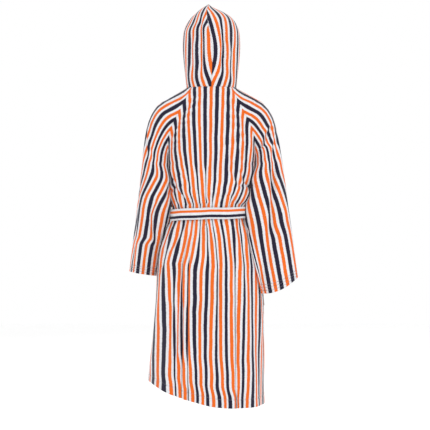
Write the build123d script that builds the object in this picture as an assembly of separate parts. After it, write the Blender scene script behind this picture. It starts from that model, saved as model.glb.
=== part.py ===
"""Hooded bathrobe in striped towelling, closed by a tied belt, in the shape it takes when worn.

Millimetres, +Z up. The origin is the middle of the neck opening, at the seam that joins the hood
to the robe. The front faces -Y, and the wearer's left is +X. The cloth lies in layers, counted
from the outside of the under layer: the back and the left front are the under layer, the right
front laps over them, and each folded edge or tape lies just inside the panel that it finishes.
"""

import os

from build123d import *

# Cloth and its layers: each is (inner offset, outer offset) from the outside of the under layer
CLOTH = 4.0
GAP = 0.6
TAPE = 1.4
UNDER = (-CLOTH, 0.0)
UNDER_FOLD = (-2 * CLOTH - GAP, -CLOTH - GAP)
UNDER_TAPE = (-CLOTH - GAP - TAPE, -CLOTH - GAP)
OVER_FOLD = (GAP, GAP + CLOTH)
OVER = (CLOTH + 2 * GAP, 2 * CLOTH + 2 * GAP)
OVER_POCKET = (2 * CLOTH + 3 * GAP, 3 * CLOTH + 3 * GAP)
BELT = (2 * CLOTH + 3 * GAP, 3 * CLOTH + 4 * GAP)
BELT_LOOP = (3 * CLOTH + 5 * GAP, 3 * CLOTH + 5 * GAP + TAPE)
WASTE = 60.0  # a scrap under this volume, in cubic millimetres, is cut waste

# Heights, from the neck seam down
HEM_LINE = [(-700, -1070), (-175, -1067), (-30, -1062), (216, -990), (700, -800)]  # (x, z)
WAIST_TOP, WAIST_BOTTOM = 395.0, 455.0
BELT_WIDTH, BELT_Z, BELT_TILT = 42.0, -425.0, 1.9  # the tilt in degrees, the right side higher

# Fronts
NECK_FRONT_X = 56.0  # where each front edge and hood edge meets the neck seam
LAP_X = 75.0  # how far each front passes the middle, from the waist down
FACING_WIDTH, HEM_FOLD, CUFF_FOLD, HOOD_FOLD = 50.0, 32.0, 30.0, 26.0
SEAM_ALLOWANCE = 6.0

# Body: height, middle (x, y), half width, half depth
BODY = [
    (60, 0, 0, 82, 75),
    (0, 0, 0, 82, 75),
    (-60, 0, 2, 114, 90),
    (-130, 0, 0, 142, 110),
    (-230, 0, -2, 158, 118),
    (-320, 0, -4, 148, 110),
    (-WAIST_TOP, 0, -6, 124, 94),
    (-WAIST_BOTTOM, 0, -6, 124, 94),
    (-540, 4, 0, 158, 126),
    (-640, 8, 4, 175, 141),
    (-850, 10, 4, 184, 152),
    (-1150, 12, 4, 195, 164),
]

# Hood: height, middle (x, y), half width, half depth, closed by a peak
HOOD = [
    (-60, 0, 0, 82, 75),
    (0, 0, 0, 82, 75),
    (50, 0, 2, 88, 90),
    (105, 0, -2, 95, 104),
    (155, 0, -6, 97, 111),
    (200, 0, -8, 91, 108),
    (240, 0, -14, 68, 98),
    (262, 0, -24, 38, 88),
    (276, 0, -32, 15, 74),
]
HOOD_PEAK, DOME_START = (0, -36, 288), 200.0
FACE_POINT, FACE_NORMAL = (0, -50, 0), (0, -1.0, 0.19)  # the slanted plane of the face opening
HOOD_PIVOT_Z, HOOD_PIVOT_RADIUS = 6.0, 134.0  # the hood folds about a line through both neck sides

# Sleeves, for the wearer's left: middle (x, y, z), direction (x, z), half width, half depth
SHOULDER = [
    (30, 0, -58, 1.0, -0.25, 46, 58),
    (95, 0, -80, 0.9, -0.44, 50, 70),
    (150, 0, -122, 0.66, -0.75, 55, 80),
    (181, -1, -190, 0.22, -0.97, 46, 82),
    (204, -4, -265, 0.06, -1.0, 36, 80),
    (203, -10, -345, 0.02, -1.0, 41, 77),
]
LEFT_ARM = [
    (206, -30, -440, 0.08, -1.0, 47, 75),
    (217, -62, -545, 0.08, -1.0, 51, 73),
    (223, -88, -625, 0.05, -1.0, 54, 72),
    (225, -96, -690, 0.04, -1.0, 55, 72),
]
RIGHT_ARM = [
    (212, -20, -440, 0.08, -1.0, 53, 76),
    (229, -38, -545, 0.12, -1.0, 56, 76),
    (240, -52, -625, 0.10, -1.0, 60, 76),
    (248, -60, -750, 0.08, -1.0, 64, 76),
]
CUFF_POINT = {1: (225, -92, -628), -1: (-243, -56, -664)}
CUFF_NORMAL = {1: (-0.10, 0, -1), -1: (-0.30, 0, -1)}
UNDERARM_PIVOT, UNDERARM_RADIUS = (168.0, -250.0), 78.0  # (x, z) of the line a sleeve swings about
SWING_GAP = 0.8

# Pockets
POCKET_TOP, POCKET_BOTTOM, POCKET_HEM = -560.0, -735.0, 28.0
POCKET_X = {1: (84.0, 182.0), -1: (-166.0, -54.0)}

# Belt knot and its two hanging ends, and the loops
KNOT_AT, KNOT_SIZE, KNOT_ROUND = (6.0, -129.0, BELT_Z), (52.0, 27.0, 48.0), 11.0
TAIL_SIZE, TAIL_X, TAIL_Y = (40.0, 7.0, 430.0), {1: 33.0, -1: -21.0}, -135.0
TAIL_LEAN, TAIL_DROP = 4.6, 5.0  # forward of straight down in degrees, and the gap under the knot
BELT_LOOP_SIZE, BELT_LOOP_Y = (12.0, 66.0), 9.0
HANG_LOOP_SIZE, HANG_LOOP_TAPE, HANG_LOOP_TOP = (46.0, TAPE, 38.0), 8.0, (0, 63.5, -8.0)
LABEL_SIZE, LABEL_TOP = (44.0, 34.0), -26.0
FAR = 700.0  # over half the robe's length, for cutting tools


def between(rows):
    """The rows, with one more between each two, on a smooth curve through them."""
    padded = [rows[0], *rows, rows[-1]]
    found = []
    for before, low, high, after in zip(padded, padded[1:], padded[2:], padded[3:]):
        middle = [(9 * (b + c) - a - d) / 16 for a, b, c, d in zip(before, low, high, after)]
        found += [low, middle]
    return [*found, rows[-1]]


def upright(rows, offset, peak=None):
    """The inside of a stack of level ellipses, grown by offset. A peak closes the top."""
    rings = []
    for z, x, y, half_width, half_depth in between(rows):
        lift = offset * max(0, z - DOME_START) / (peak[2] - DOME_START) if peak else 0
        rings.append(Plane((x, y, z + lift)) * Ellipse(half_width + offset, half_depth + offset))
    if peak:
        x, y, z = peak
        rings.append(Vertex(x, y, z + offset))
    return loft(rings, ruled=True)


def body(offset):
    return upright(BODY, offset)


def hood(offset):
    return upright(HOOD, offset, HOOD_PEAK)


def sleeve(side, offset):
    """The inside of a sleeve, grown by offset. side is 1 for the wearer's left, -1 for the right."""
    rings = []
    for x, y, z, along, up, half_width, half_depth in between(
        SHOULDER + (LEFT_ARM if side > 0 else RIGHT_ARM)
    ):
        plane = Plane(origin=(side * x, y, z), x_dir=(up, 0, -side * along), z_dir=(side * along, 0, up))
        rings.append(plane * Ellipse(half_width + offset, half_depth + offset))
    return loft(rings, ruled=True)


def layer(shape, offsets):
    """The cloth between two offsets of a shape."""
    low, high = offsets
    return shape(high) - shape(low)


def block(x_range, y_range, z_range):
    """A box between two corners."""
    ranges = (x_range, y_range, z_range)
    middle = [(high + low) / 2 for low, high in ranges]
    return Pos(*middle) * Box(*[high - low for low, high in ranges])


def beyond(point, normal):
    """Everything on the normal's side of a plane through point."""
    return Plane(origin=point, z_dir=normal) * Pos(0, 0, FAR) * Box(3 * FAR, 3 * FAR, 2 * FAR)


def prism(corners):
    """A polygon of (x, z) corners, carried along the front half."""
    face = Plane.XZ * make_face(Polyline(*corners, close=True))
    return extrude(face, amount=FAR)


def under_hem():
    """What is under the hem line, which rises to the wearer's left."""
    right, left = HEM_LINE[0], HEM_LINE[-1]
    line = Spline(*HEM_LINE)
    rest = Polyline(left, (FAR, -2 * FAR), (-FAR, -2 * FAR), right)
    return extrude(Plane.XZ.offset(FAR) * make_face([line, *rest.edges()]), amount=-2 * FAR)


def front(side, inset=0.0):
    """The outline of a front panel, cut back by inset from its free edge."""
    top, low = side * (NECK_FRONT_X + inset), side * (inset - LAP_X)
    corners = [(top, 90), (top, 0), (low, 60 - WAIST_TOP), (low, -2 * FAR)]
    return prism([*corners, (side * FAR, -2 * FAR), (side * FAR, 90)])


def solids_of(shape):
    """The shape without cut waste."""
    kept = [s for s in shape.solids() if s.volume > WASTE]
    return kept[0] if len(kept) == 1 else Compound(kept)


def write(name, shape):
    export_step(solids_of(shape), os.path.join("parts", name + ".step"))


BACK = block((-FAR, FAR), (0.1, FAR), (-2 * FAR, -0.2))
FRONT = block((-FAR, FAR), (-FAR, -0.1), (-2 * FAR, -0.2))
HEM = under_hem()
HEM_BAND = Pos(0, 0, HEM_FOLD) * HEM - HEM
ARM_SPACE = {side: sleeve(side, -CLOTH) for side in (1, -1)}


def write_body_panels():
    """The back, the two fronts, their hem folds and front facings, and the side seams."""
    arms = ARM_SPACE[1] + ARM_SPACE[-1]
    under, over = layer(body, UNDER), layer(body, OVER)
    under_fold, over_fold = layer(body, UNDER_FOLD), layer(body, OVER_FOLD)
    left, right = FRONT & front(1), FRONT & front(-1)
    write("back_panel", (under & BACK) - HEM - arms)
    write("left_front_panel", (under & left) - HEM - arms)
    write("right_front_panel", (over & right) - HEM - arms)
    left_edge = left - front(1, FACING_WIDTH)
    right_edge = right - front(-1, FACING_WIDTH)
    write("left_front_facing", (under_fold & left_edge) - HEM - arms)
    write("right_front_facing", (over_fold & right_edge) - HEM - arms)
    write("back_hem_fold", under_fold & BACK & HEM_BAND)
    write("left_front_hem_fold", (under_fold & left & HEM_BAND) - left_edge)
    write("right_front_hem_fold", (over_fold & right & HEM_BAND) - right_edge)
    seam_layer = layer(body, UNDER_TAPE) - HEM - HEM_BAND
    for side, name in ((1, "left"), (-1, "right")):
        x_range = (0, FAR) if side > 0 else (-FAR, 0)
        strip = block(x_range, (-SEAM_ALLOWANCE, SEAM_ALLOWANCE), (-2 * FAR, -240))
        write(name + "_side_seam", (seam_layer & strip) - arms)


def write_sleeves():
    """Each sleeve: the part on the shoulder, the part that swings with the arm, and the cuff's fold."""
    lap = body(OVER[1] + GAP) & block((-FAR, 0), (-FAR, 0), (-2 * FAR, FAR))
    for side, name in ((1, "left"), (-1, "right")):
        cut = body(GAP) if side > 0 else body(GAP) + lap
        past_cuff = beyond(CUFF_POINT[side], CUFF_NORMAL[side])
        x, y, z = CUFF_POINT[side]
        fold_band = beyond((x, y, z + CUFF_FOLD), CUFF_NORMAL[side]) - past_cuff
        cloth = layer(lambda offset: sleeve(side, offset), UNDER) - past_cuff - cut
        pivot_x, pivot_z = UNDERARM_PIVOT
        low = block(sorted((side * 100, side * FAR)), (-FAR, FAR), (-FAR - 100, pivot_z))
        ball = Pos(side * pivot_x, 0, pivot_z) * Rot(X=90) * Cylinder(UNDERARM_RADIUS, 2 * FAR)
        grown = Pos(side * pivot_x, 0, pivot_z) * Rot(X=90) * Cylinder(UNDERARM_RADIUS + SWING_GAP, 2 * FAR)
        above_neck = block((-FAR, FAR), (-FAR, FAR), (-1.0, FAR))
        write(name + "_sleeve_shoulder", cloth - (low - ball) - above_neck)
        write(name + "_sleeve_arm", cloth & (low - grown))
        write(name + "_cuff_fold", layer(lambda offset: sleeve(side, offset), UNDER_FOLD) & fold_band)


def write_hood():
    """The hood's two halves with their centre seam and turned edge, each cut where the hood folds."""
    face = beyond(FACE_POINT, FACE_NORMAL)
    edge_band = Pos(0, HOOD_FOLD, 0) * face - face
    above = block((-FAR, FAR), (-FAR, FAR), (0.2, FAR))
    high = block((-FAR, FAR), (-FAR, FAR), (HOOD_PIVOT_Z, FAR))
    turn = Pos(0, 0, HOOD_PIVOT_Z) * Rot(Y=90)
    fixed = high - turn * Cylinder(HOOD_PIVOT_RADIUS, 2 * FAR)
    moving = high - turn * Cylinder(HOOD_PIVOT_RADIUS + SWING_GAP, 2 * FAR)
    cloth = (layer(hood, UNDER) & above) - face
    inner = (layer(hood, UNDER_FOLD) & above) - face
    halves = {
        "left_hood": cloth & block((0.1, FAR), (-FAR, FAR), (0, FAR)),
        "right_hood": cloth & block((-FAR, -0.1), (-FAR, FAR), (0, FAR)),
        "hood_edge_fold": inner & edge_band,
        "hood_centre_seam": (inner & block((-SEAM_ALLOWANCE, SEAM_ALLOWANCE), (-FAR, FAR), (0, FAR))) - edge_band,
    }
    for name, shape in halves.items():
        write(name + "_base", shape - fixed)
        write(name, shape & moving)


def write_neck():
    """The tape over the neck seam, the hanging loop and the blank label."""
    tape = layer(body, UNDER_TAPE)
    write("neck_tape", tape & block((-FAR, FAR), (0.1, FAR), (-19, -1)))
    width, height = LABEL_SIZE
    label = block((-width / 2, width / 2), (0, FAR), (LABEL_TOP - height, LABEL_TOP))
    write("blank_label", tape & label)
    wide, thick, high = HANG_LOOP_SIZE
    x, y, top = HANG_LOOP_TOP
    outside = Pos(x, y, top - high / 2) * Box(wide, thick, high)
    bottom = outside.edges().filter_by(Axis.Y).group_by(Axis.Z)[0]
    eye = Box(wide - 2 * HANG_LOOP_TAPE, 3 * thick, high - 2 * HANG_LOOP_TAPE)
    write("hanging_loop", fillet(bottom, 9.0) - Pos(x, y, top - high / 2) * eye)


def write_belt():
    """The belt round the waist, its knot, its two hanging ends and its side loops."""
    band = block((-FAR, FAR), (-FAR, FAR), (BELT_Z - BELT_WIDTH / 2, BELT_Z + BELT_WIDTH / 2))
    tilt = Pos(0, 0, BELT_Z) * Rot(Y=BELT_TILT) * Pos(0, 0, -BELT_Z)
    write("belt_waistband", layer(body, BELT) & (tilt * band))
    knot = Pos(*KNOT_AT) * Box(*KNOT_SIZE)
    write("belt_knot", fillet(knot.edges(), KNOT_ROUND))
    for side, name in ((1, "left"), (-1, "right")):
        wide, thick, long = TAIL_SIZE
        hinge_z = KNOT_AT[2] - KNOT_SIZE[2] / 2 - TAIL_DROP
        hang = Pos(TAIL_X[side], TAIL_Y, hinge_z) * Rot(X=-TAIL_LEAN) * Pos(0, 0, -long / 2)
        strap = Box(wide, thick, long)
        write("belt_end_" + name, hang * fillet(strap.edges().filter_by(Axis.Z), 2.5))
        high = BELT_LOOP_SIZE[1] / 2
        y_range = (BELT_LOOP_Y - BELT_LOOP_SIZE[0] / 2, BELT_LOOP_Y + BELT_LOOP_SIZE[0] / 2)
        x_range = (0, FAR) if side > 0 else (-FAR, 0)
        whole = block(x_range, y_range, (BELT_Z - high, BELT_Z + high))
        middle = block(x_range, (-FAR, FAR), (BELT_Z - high + 3, BELT_Z + high - 3))
        strap = layer(body, (GAP, BELT_LOOP[1])) & whole
        write(name + "_belt_loop", strap - (layer(body, (0.0, BELT_LOOP[0])) & middle))


def write_pockets():
    """A patch pocket on each front, with a folded top hem on its outside."""
    for side, name, offsets in ((1, "left", OVER_FOLD), (-1, "right", OVER_POCKET)):
        x_range = POCKET_X[side]
        patch = block(x_range, (-FAR, -14), (POCKET_BOTTOM, POCKET_TOP - 0.3))
        hem = block(x_range, (-FAR, -14), (POCKET_TOP - POCKET_HEM, POCKET_TOP))
        write(name + "_pocket", (layer(body, offsets) & patch) - hem)
        doubled = (offsets[0], offsets[1] + CLOTH / 2)
        write(name + "_pocket_hem", layer(body, doubled) & hem)


os.makedirs("parts", exist_ok=True)
write_body_panels()
write_sleeves()
write_hood()
write_neck()
write_belt()
write_pockets()
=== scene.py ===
import math

import bpy
import numpy as np
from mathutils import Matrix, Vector
from mathutils.bvhtree import BVHTree


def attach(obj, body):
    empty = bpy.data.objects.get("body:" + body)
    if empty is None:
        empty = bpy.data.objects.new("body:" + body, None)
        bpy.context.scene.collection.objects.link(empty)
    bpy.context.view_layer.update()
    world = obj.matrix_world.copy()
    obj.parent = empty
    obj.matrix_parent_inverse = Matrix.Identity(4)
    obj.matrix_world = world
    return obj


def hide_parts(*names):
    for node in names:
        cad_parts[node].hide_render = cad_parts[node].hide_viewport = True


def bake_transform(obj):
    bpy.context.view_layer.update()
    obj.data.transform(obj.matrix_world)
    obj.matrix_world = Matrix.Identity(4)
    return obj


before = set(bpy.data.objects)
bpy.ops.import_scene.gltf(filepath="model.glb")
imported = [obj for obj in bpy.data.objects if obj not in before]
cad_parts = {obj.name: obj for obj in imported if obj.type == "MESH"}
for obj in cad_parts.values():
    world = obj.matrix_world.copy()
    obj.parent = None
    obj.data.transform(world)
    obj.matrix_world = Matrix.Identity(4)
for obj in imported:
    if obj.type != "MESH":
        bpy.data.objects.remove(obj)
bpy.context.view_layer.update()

MM = 0.001


# ---------------------------------------------------------------- curves

def smooth(points, at):
    """A smooth curve through points, (parameter, values...), read at each parameter."""
    p = np.array(points, float)
    x, y = p[:, 0], p[:, 1:]
    if x[0] > x[-1]:
        x, y = x[::-1], y[::-1]
    at = np.clip(np.atleast_1d(np.asarray(at, float)), x[0], x[-1])
    slope = np.diff(y, axis=0) / np.diff(x)[:, None]
    tangent = np.vstack([slope[:1], (slope[1:] + slope[:-1]) / 2, slope[-1:]])
    k = np.clip(np.searchsorted(x, at, side="right") - 1, 0, len(x) - 2)
    h = (x[k + 1] - x[k])[:, None]
    t = ((at - x[k]) / h[:, 0])[:, None]
    a, b, m, n = y[k], y[k + 1], tangent[k] * h, tangent[k + 1] * h
    from_a = (2 * t**3 - 3 * t**2 + 1) * a + (t**3 - 2 * t**2 + t) * m
    return from_a + (3 * t**2 - 2 * t**3) * b + (t**3 - t**2) * n


def run_along(points):
    """How far along its polyline each point lies."""
    return np.concatenate([[0], np.cumsum(np.linalg.norm(np.diff(points, axis=0), axis=1))])


def spaced(points, count):
    """count points, evenly spaced along a smooth curve through points."""
    p = np.array(points, float)
    knots = run_along(p)
    fine = smooth(np.column_stack([knots, p]), np.linspace(0, knots[-1], 600))
    run = run_along(fine)
    at = np.linspace(0, run[-1], count)
    return np.column_stack([np.interp(at, run, fine[:, i]) for i in range(3)])


def ease(t):
    """0 up to t = 0, rising smoothly to 1 at t = 1."""
    t = np.clip(t, 0, 1)
    return t * t * (3 - 2 * t)


# ---------------------------------------------------------------- the robe's shape, in millimetres

# height, middle x, middle y, half width, half depth
BODY = [
    (20, 0, 0, 82, 75),
    (0, 0, 0, 82, 75),
    (-30, 0, 2, 96, 84),
    (-60, 0, 2, 112, 91),
    (-130, 0, 0, 142, 110),
    (-230, 1, -2, 157, 117),
    (-320, 3, -4, 145, 108),
    (-378, 5, -6, 135, 100),
    (-404, 6, -6, 127, 95),
    (-446, 6, -6, 127, 95),
    (-474, 6, -4, 145, 106),
    (-540, 7, 0, 166, 126),
    (-640, 5, 4, 177, 141),
    (-740, 6, 4, 182, 147),
    (-850, 10, 4, 184, 151),
    (-985, 15, 4, 189, 156),
    (-1090, 17, 4, 195, 160),
]
# height, and the power that squares off the section there
SQUARED = [(0, 1.0), (-130, 0.86), (-300, 0.84), (-404, 0.92), (-446, 0.92), (-640, 0.88), (-1090, 0.88)]
# height, half the cloth's flat width round the robe
FLAT_HALF = [(-250, 262), (-330, 268), (-404, 270), (-446, 272), (-540, 276), (-640, 280), (-1090, 292)]
# x and height of the hem, which hangs lower on the wearer's right
HEM_LINE = [(-260, -1069), (-175, -1067), (-30, -1062), (100, -1032), (216, -990), (260, -972)]
# the raglan seams and the shoulder, from the neck to the underarm: x, y, z on the wearer's left
BACK_RAGLAN = [(66, 44, 0), (80, 57, -25), (99, 68, -50), (117, 76, -80), (135, 76, -110), (148, 68, -146),
               (156, 50, -184), (158, 25, -220), (154, 0, -250)]
FRONT_RAGLAN = [(74, -32, 0), (88, -50, -28), (104, -68, -55), (120, -80, -85), (136, -82, -115),
                (148, -74, -150), (156, -56, -186), (158, -28, -221), (154, 0, -250)]
SHOULDER_LINE = [(82.5, 6, 0), (118, 5, -20), (148, 4, -33), (172, 4, -49), (187, 3, -64), (199, 2, -88),
                 (207, 0, -115), (213, -2, -143), (224, -4, -184), (233, -6, -228), (236, -6, -245)]
# share of the way down the raglan seams, and half the turn in degrees that the sleeve's cloth makes there
OPENING = [(0, 80), (0.125, 81), (0.25, 83), (0.375, 87), (0.5, 98), (0.625, 117), (0.75, 139), (0.875, 160),
           (1, 180)]
ROWS_RAGLAN, ROWS_CHEST, ROWS_BELT, ROWS_SKIRT = 26, 16, 4, 60
COLUMNS_BACK, COLUMNS_FRONT, COLUMNS_SLEEVE = 60, 38, 46
BODY_PANELS = ("back", "left_front", "right_front")
UNDERARM, BELT_TOP, BELT_LOW, SKIRT_LOW = -250.0, -404.0, -446.0, -1060.0
# height, and the x of the left front's edge
FRONT_EDGE = [(0, 56), (-120, 34), (-250, 2), (-404, -66), (-446, -74), (-1090, -76)]
# sleeves below the underarm: middle x, y, z, lean (x per unit down), half width, half depth
ARMS = {
    1: [(188, -2, -262, 0.10, 47, 79), (191, -6, -333, 0.04, 50, 78), (193, -14, -390, 0.06, 57, 76),
        (202, -30, -450, 0.10, 54, 74), (219, -58, -545, 0.10, 50, 70), (230, -84, -628, 0.08, 50, 68)],
    -1: [(188, -2, -262, 0.06, 50, 79), (187, 0, -333, 0.00, 63, 74), (180, 8, -404, 0.04, 77, 66),
         (188, 14, -470, 0.10, 77, 63), (200, 20, -545, 0.12, 74, 62), (211, 25, -615, 0.14, 71, 61),
         (221, 26, -678, 0.14, 69, 60)],
}
# share of the way down the arm, and half the sleeve's flat width
SLEEVE_FLAT_HALF = [(0, 226), (0.4, 220), (1, 214)]
ROWS_ARM = {1: 39, -1: 42}
SLEEVE_CLEAR = 6.0  # the gap between a sleeve and the body
NECK_EASE = 38.0  # sets which stripe runs down the middle of the sleeves
CUFF_TILT = {1: (0.03, 0.0), -1: (0.24, 0.0040)}  # how the cuff's edge rises outwards: slope and curve


def body_at(z):
    """Middle x, middle y, half width and half depth of the body at a height."""
    return smooth(BODY, z).T


def section(a, b, power, start, end, count):
    """Points evenly spaced round part of a squared-off oval. Angles run from the middle towards the side."""
    t = np.linspace(start, end, 200)
    x = a * np.sign(np.sin(t)) * np.abs(np.sin(t)) ** power
    y = b * np.maximum(np.cos(t), 0) ** power
    run = np.concatenate([[0], np.cumsum(np.hypot(np.diff(x), np.diff(y)))])
    at = np.linspace(0, run[-1], count)
    return np.interp(at, run, x), np.interp(at, run, y), run[-1]


def hem_at(x):
    """The height of the hem at an x."""
    return smooth(HEM_LINE, x)[:, 0]


def body_grid(panel):
    """Start positions (rows, columns, 3) and flat coordinates (rows, columns) of a body panel."""
    back = panel == "back"
    seam = spaced(BACK_RAGLAN if back else FRONT_RAGLAN, ROWS_RAGLAN + 1)
    columns = COLUMNS_BACK if back else COLUMNS_FRONT
    side = 1 if panel != "right_front" else -1
    heights = np.concatenate([
        np.linspace(0, UNDERARM, ROWS_RAGLAN + 1),
        np.linspace(UNDERARM, BELT_TOP, ROWS_CHEST + 1)[1:],
        np.linspace(BELT_TOP, BELT_LOW, ROWS_BELT + 1)[1:],
        np.linspace(BELT_LOW, SKIRT_LOW, ROWS_SKIRT + 1)[1:],
    ])
    grid, flat = [], []
    for i, z0 in enumerate(heights):
        cx, cy, a, b = (v[0] for v in body_at(z0))
        y_sign = 1 if back else -1
        z_side, angle = z0, math.pi / 2
        power = smooth(SQUARED, z0)[0, 0]
        if i <= ROWS_RAGLAN:
            x_s, y_s, z_side = seam[i]
            cx = 0.0
            if i < ROWS_RAGLAN:
                high = np.clip(y_sign * (y_s - cy) / b, 0.001, 0.999)
                angle = math.acos(high ** (1 / power))
                a = x_s / math.sin(angle) ** power
            else:
                a = x_s
        if back:
            start, end = -angle, angle
        else:
            x_edge = (smooth(FRONT_EDGE, z0)[0, 0] - side * cx) / a
            start, end = angle, math.asin(np.sign(x_edge) * min(abs(x_edge), 0.99) ** (1 / power))
        x, y, arc = section(a, b, power, start, end, columns + 1)
        _, _, half_arc = section(a, b, power, 0, angle, columns + 1)
        if back:
            f = np.linspace(-1, 1, columns + 1)
        else:
            f = np.linspace(1, 1 - arc / half_arc, columns + 1) * side
            x = x * side
        x = cx + x
        y = cy + y_sign * y
        z = z0 + (z_side - z0) * f**2
        if i > ROWS_RAGLAN + ROWS_CHEST + ROWS_BELT:
            share = (i - ROWS_RAGLAN - ROWS_CHEST - ROWS_BELT) / ROWS_SKIRT
            z = BELT_LOW + (hem_at(x) - BELT_LOW) * share
        row = np.column_stack([x, y, z])
        grid.append(row)
        half = half_arc if i <= ROWS_RAGLAN else smooth(FLAT_HALF, z0)[0, 0]
        flat.append((half, f * half))
    widths = np.array([h for h, _ in flat])
    # the raglan rows' widths grow to the first row below the underarm
    grow = np.linspace(0, 1, ROWS_RAGLAN + 1) ** 2
    widths[: ROWS_RAGLAN + 1] *= 1 + grow * (FLAT_HALF[0][1] / widths[ROWS_RAGLAN] - 1)
    fs = np.array([s / h for h, s in flat])
    return np.array(grid), fs * widths[:, None], widths, heights


def flattened(f, wide, deep):
    """Points round a squarish oval, evenly spaced along it: outwards and forwards from its middle."""
    f = (f + 1) % 2 - 1
    turn = np.linspace(-math.pi, math.pi, 241)
    c, s = np.cos(turn), np.sin(turn)
    out, forward = wide * np.sign(c) * np.abs(c) ** SQUARE, deep * np.sign(s) * np.abs(s) ** SQUARE
    run = np.concatenate([[0], np.cumsum(np.hypot(np.diff(out), np.diff(forward)))])
    at = (f + 1) / 2 * run[-1]
    return np.interp(at, run, out), np.interp(at, run, forward)


SQUARE = 0.72  # the power that squares off a sleeve's section
TWIST = {1: 0.26, -1: 0.2}  # how far the sleeves turn round, in half turns, from the underarm to the elbow


def pulled(f, to_back, to_front):
    """Shifts that bring the two ends of a row to its seams and leave its middle alone."""
    return np.where(f < 0, -f, 0)[:, None] ** 2 * to_back + np.where(f > 0, f, 0)[:, None] ** 2 * to_front


def clear_of_body(grid, side):
    """The sleeve below the underarm, moved out of the body or wrapped over the front or the back of it."""
    for i in range(ROWS_RAGLAN + 1, len(grid)):
        middle_x, middle_y, wide, deep = smooth(BODY, grid[i, :, 2]).T
        middle_x = middle_x * side
        x, y = grid[i, :, 0] - middle_x, grid[i, :, 1] - middle_y
        clear = SLEEVE_CLEAR * min(1.0, (i - ROWS_RAGLAN) / 6)
        power = 2 / smooth(SQUARED, grid[i, :, 2])[:, 0]
        reach = (np.abs(x / (wide + clear)) ** power + np.abs(y / (deep + clear)) ** power) ** (1 / power)
        inside = np.maximum(1, 1 / np.maximum(reach, 0.2))
        beside = 0.3 * x * inside + 0.7 * x
        room = np.maximum(1 - np.abs(beside / (wide + clear)) ** power, 0) ** (1 / power)
        over = np.where(y > 0, np.maximum(y, room * (deep + clear)), np.minimum(y, -room * (deep + clear)))
        wraps = (inside > 1) * ease((np.abs(y) - 12) / 45) * ease((i - ROWS_RAGLAN - 5) / 8)
        grid[i, :, 0] = middle_x + x * inside + (beside - x * inside) * wraps
        grid[i, :, 1] = middle_y + y * inside + (over - y * inside) * wraps
    grid[..., 0] *= side
    return grid


def sleeve_grid(side, seam_flat):
    """A sleeve's start positions and flat coordinates, from the back seam to the front one."""
    back, front = spaced(BACK_RAGLAN, ROWS_RAGLAN + 1), spaced(FRONT_RAGLAN, ROWS_RAGLAN + 1)
    top = spaced(SHOULDER_LINE, ROWS_RAGLAN + 1)
    share = np.linspace(0, 1, ROWS_RAGLAN + 1)
    opening = np.radians(smooth(OPENING, share)[:, 0])
    gap = np.linalg.norm(front - back, axis=1) / 2
    depth = np.where(share < 0.97, gap / np.maximum(np.sin(opening), 0.05), 80.0)
    depth[share >= 0.8] = 80.0
    f = np.linspace(-1, 1, COLUMNS_SLEEVE + 1)
    rows, flats = [], []
    start_flat = seam_flat[0] - NECK_EASE
    for i in range(ROWS_RAGLAN + 1):
        middle = (back[i] + front[i]) / 2
        across = (front[i] - back[i]) / max(2 * gap[i], 1e-6)
        if i == ROWS_RAGLAN or gap[i] < 1:
            across = np.array([0, -1.0, 0])
        lift = (top[i] - middle) / (1 - math.cos(opening[i]))
        ring_middle = middle - lift * math.cos(opening[i])
        turn = f * opening[i]
        row = ring_middle + np.outer(np.cos(turn), lift) + np.outer(np.sin(turn) * depth[i], across)
        rows.append(row + pulled(f, back[i] - row[0], front[i] - row[-1]))
        flats.append((start_flat, seam_flat[i] - start_flat))
    arm = np.array(ARMS[side], float)
    knots = run_along(arm[:, :3])
    steps = np.linspace(0, 1, ROWS_ARM[side] + 1)[1:]
    for step in steps:
        x, y, z, lean, wide, deep = smooth(np.column_stack([knots, arm]), step * knots[-1])[0]
        along = np.array([lean, 0, -1.0])
        along /= np.linalg.norm(along)
        out = np.array([-along[2], 0, along[0]])
        outwards, forwards = flattened(f + TWIST[side] * ease(np.array(step / 0.42)), wide, deep)
        row = np.array([x, y, z]) + np.outer(outwards, out) + np.outer(forwards, [0, -1.0, 0])
        slope, curve = CUFF_TILT[side]
        row[:, 2] += ((row[:, 0] - x) * slope + (row[:, 0] - x) ** 2 * curve) * step**2
        rows.append(row)
        flats.append((start_flat, smooth(SLEEVE_FLAT_HALF, step)[0, 0]))
    # the underarm row and the tube under it meet smoothly
    grid = np.array(rows)
    soft = grid.copy()
    first, last = ROWS_RAGLAN - 2, ROWS_RAGLAN + 8
    for _ in range(6):
        soft[1:-1] = soft[1:-1] * 0.5 + (soft[:-2] + soft[2:]) * 0.25
        soft[:first], soft[last:] = grid[:first], grid[last:]
        soft[: ROWS_RAGLAN + 1, 0], soft[: ROWS_RAGLAN + 1, -1] = back, front
    grid = clear_of_body(soft, side)
    flat = np.array([start + half * np.abs(f) for start, half in flats])
    return grid, flat, f


# height, middle y, half width, half depth
HOOD = [
    (0, 0, 83, 75),
    (50, 2, 88, 90),
    (105, -2, 94, 104),
    (155, -6, 96, 111),
    (205, -9, 89, 112),
    (240, -14, 67, 101),
    (264, -25, 34, 86),
    (280, -36, 0.5, 70),
]
SEAM_LEAN = [(0, 0), (130, -2), (194, 9), (245, 15), (268, 13), (280, 9)]  # height, x of the centre seam
ROWS_HOOD, COLUMNS_HOOD = 34, 24
FACE_Y, FACE_SLOPE = -50.0, 0.19  # where the face opening's edge starts, and how it slopes back


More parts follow.
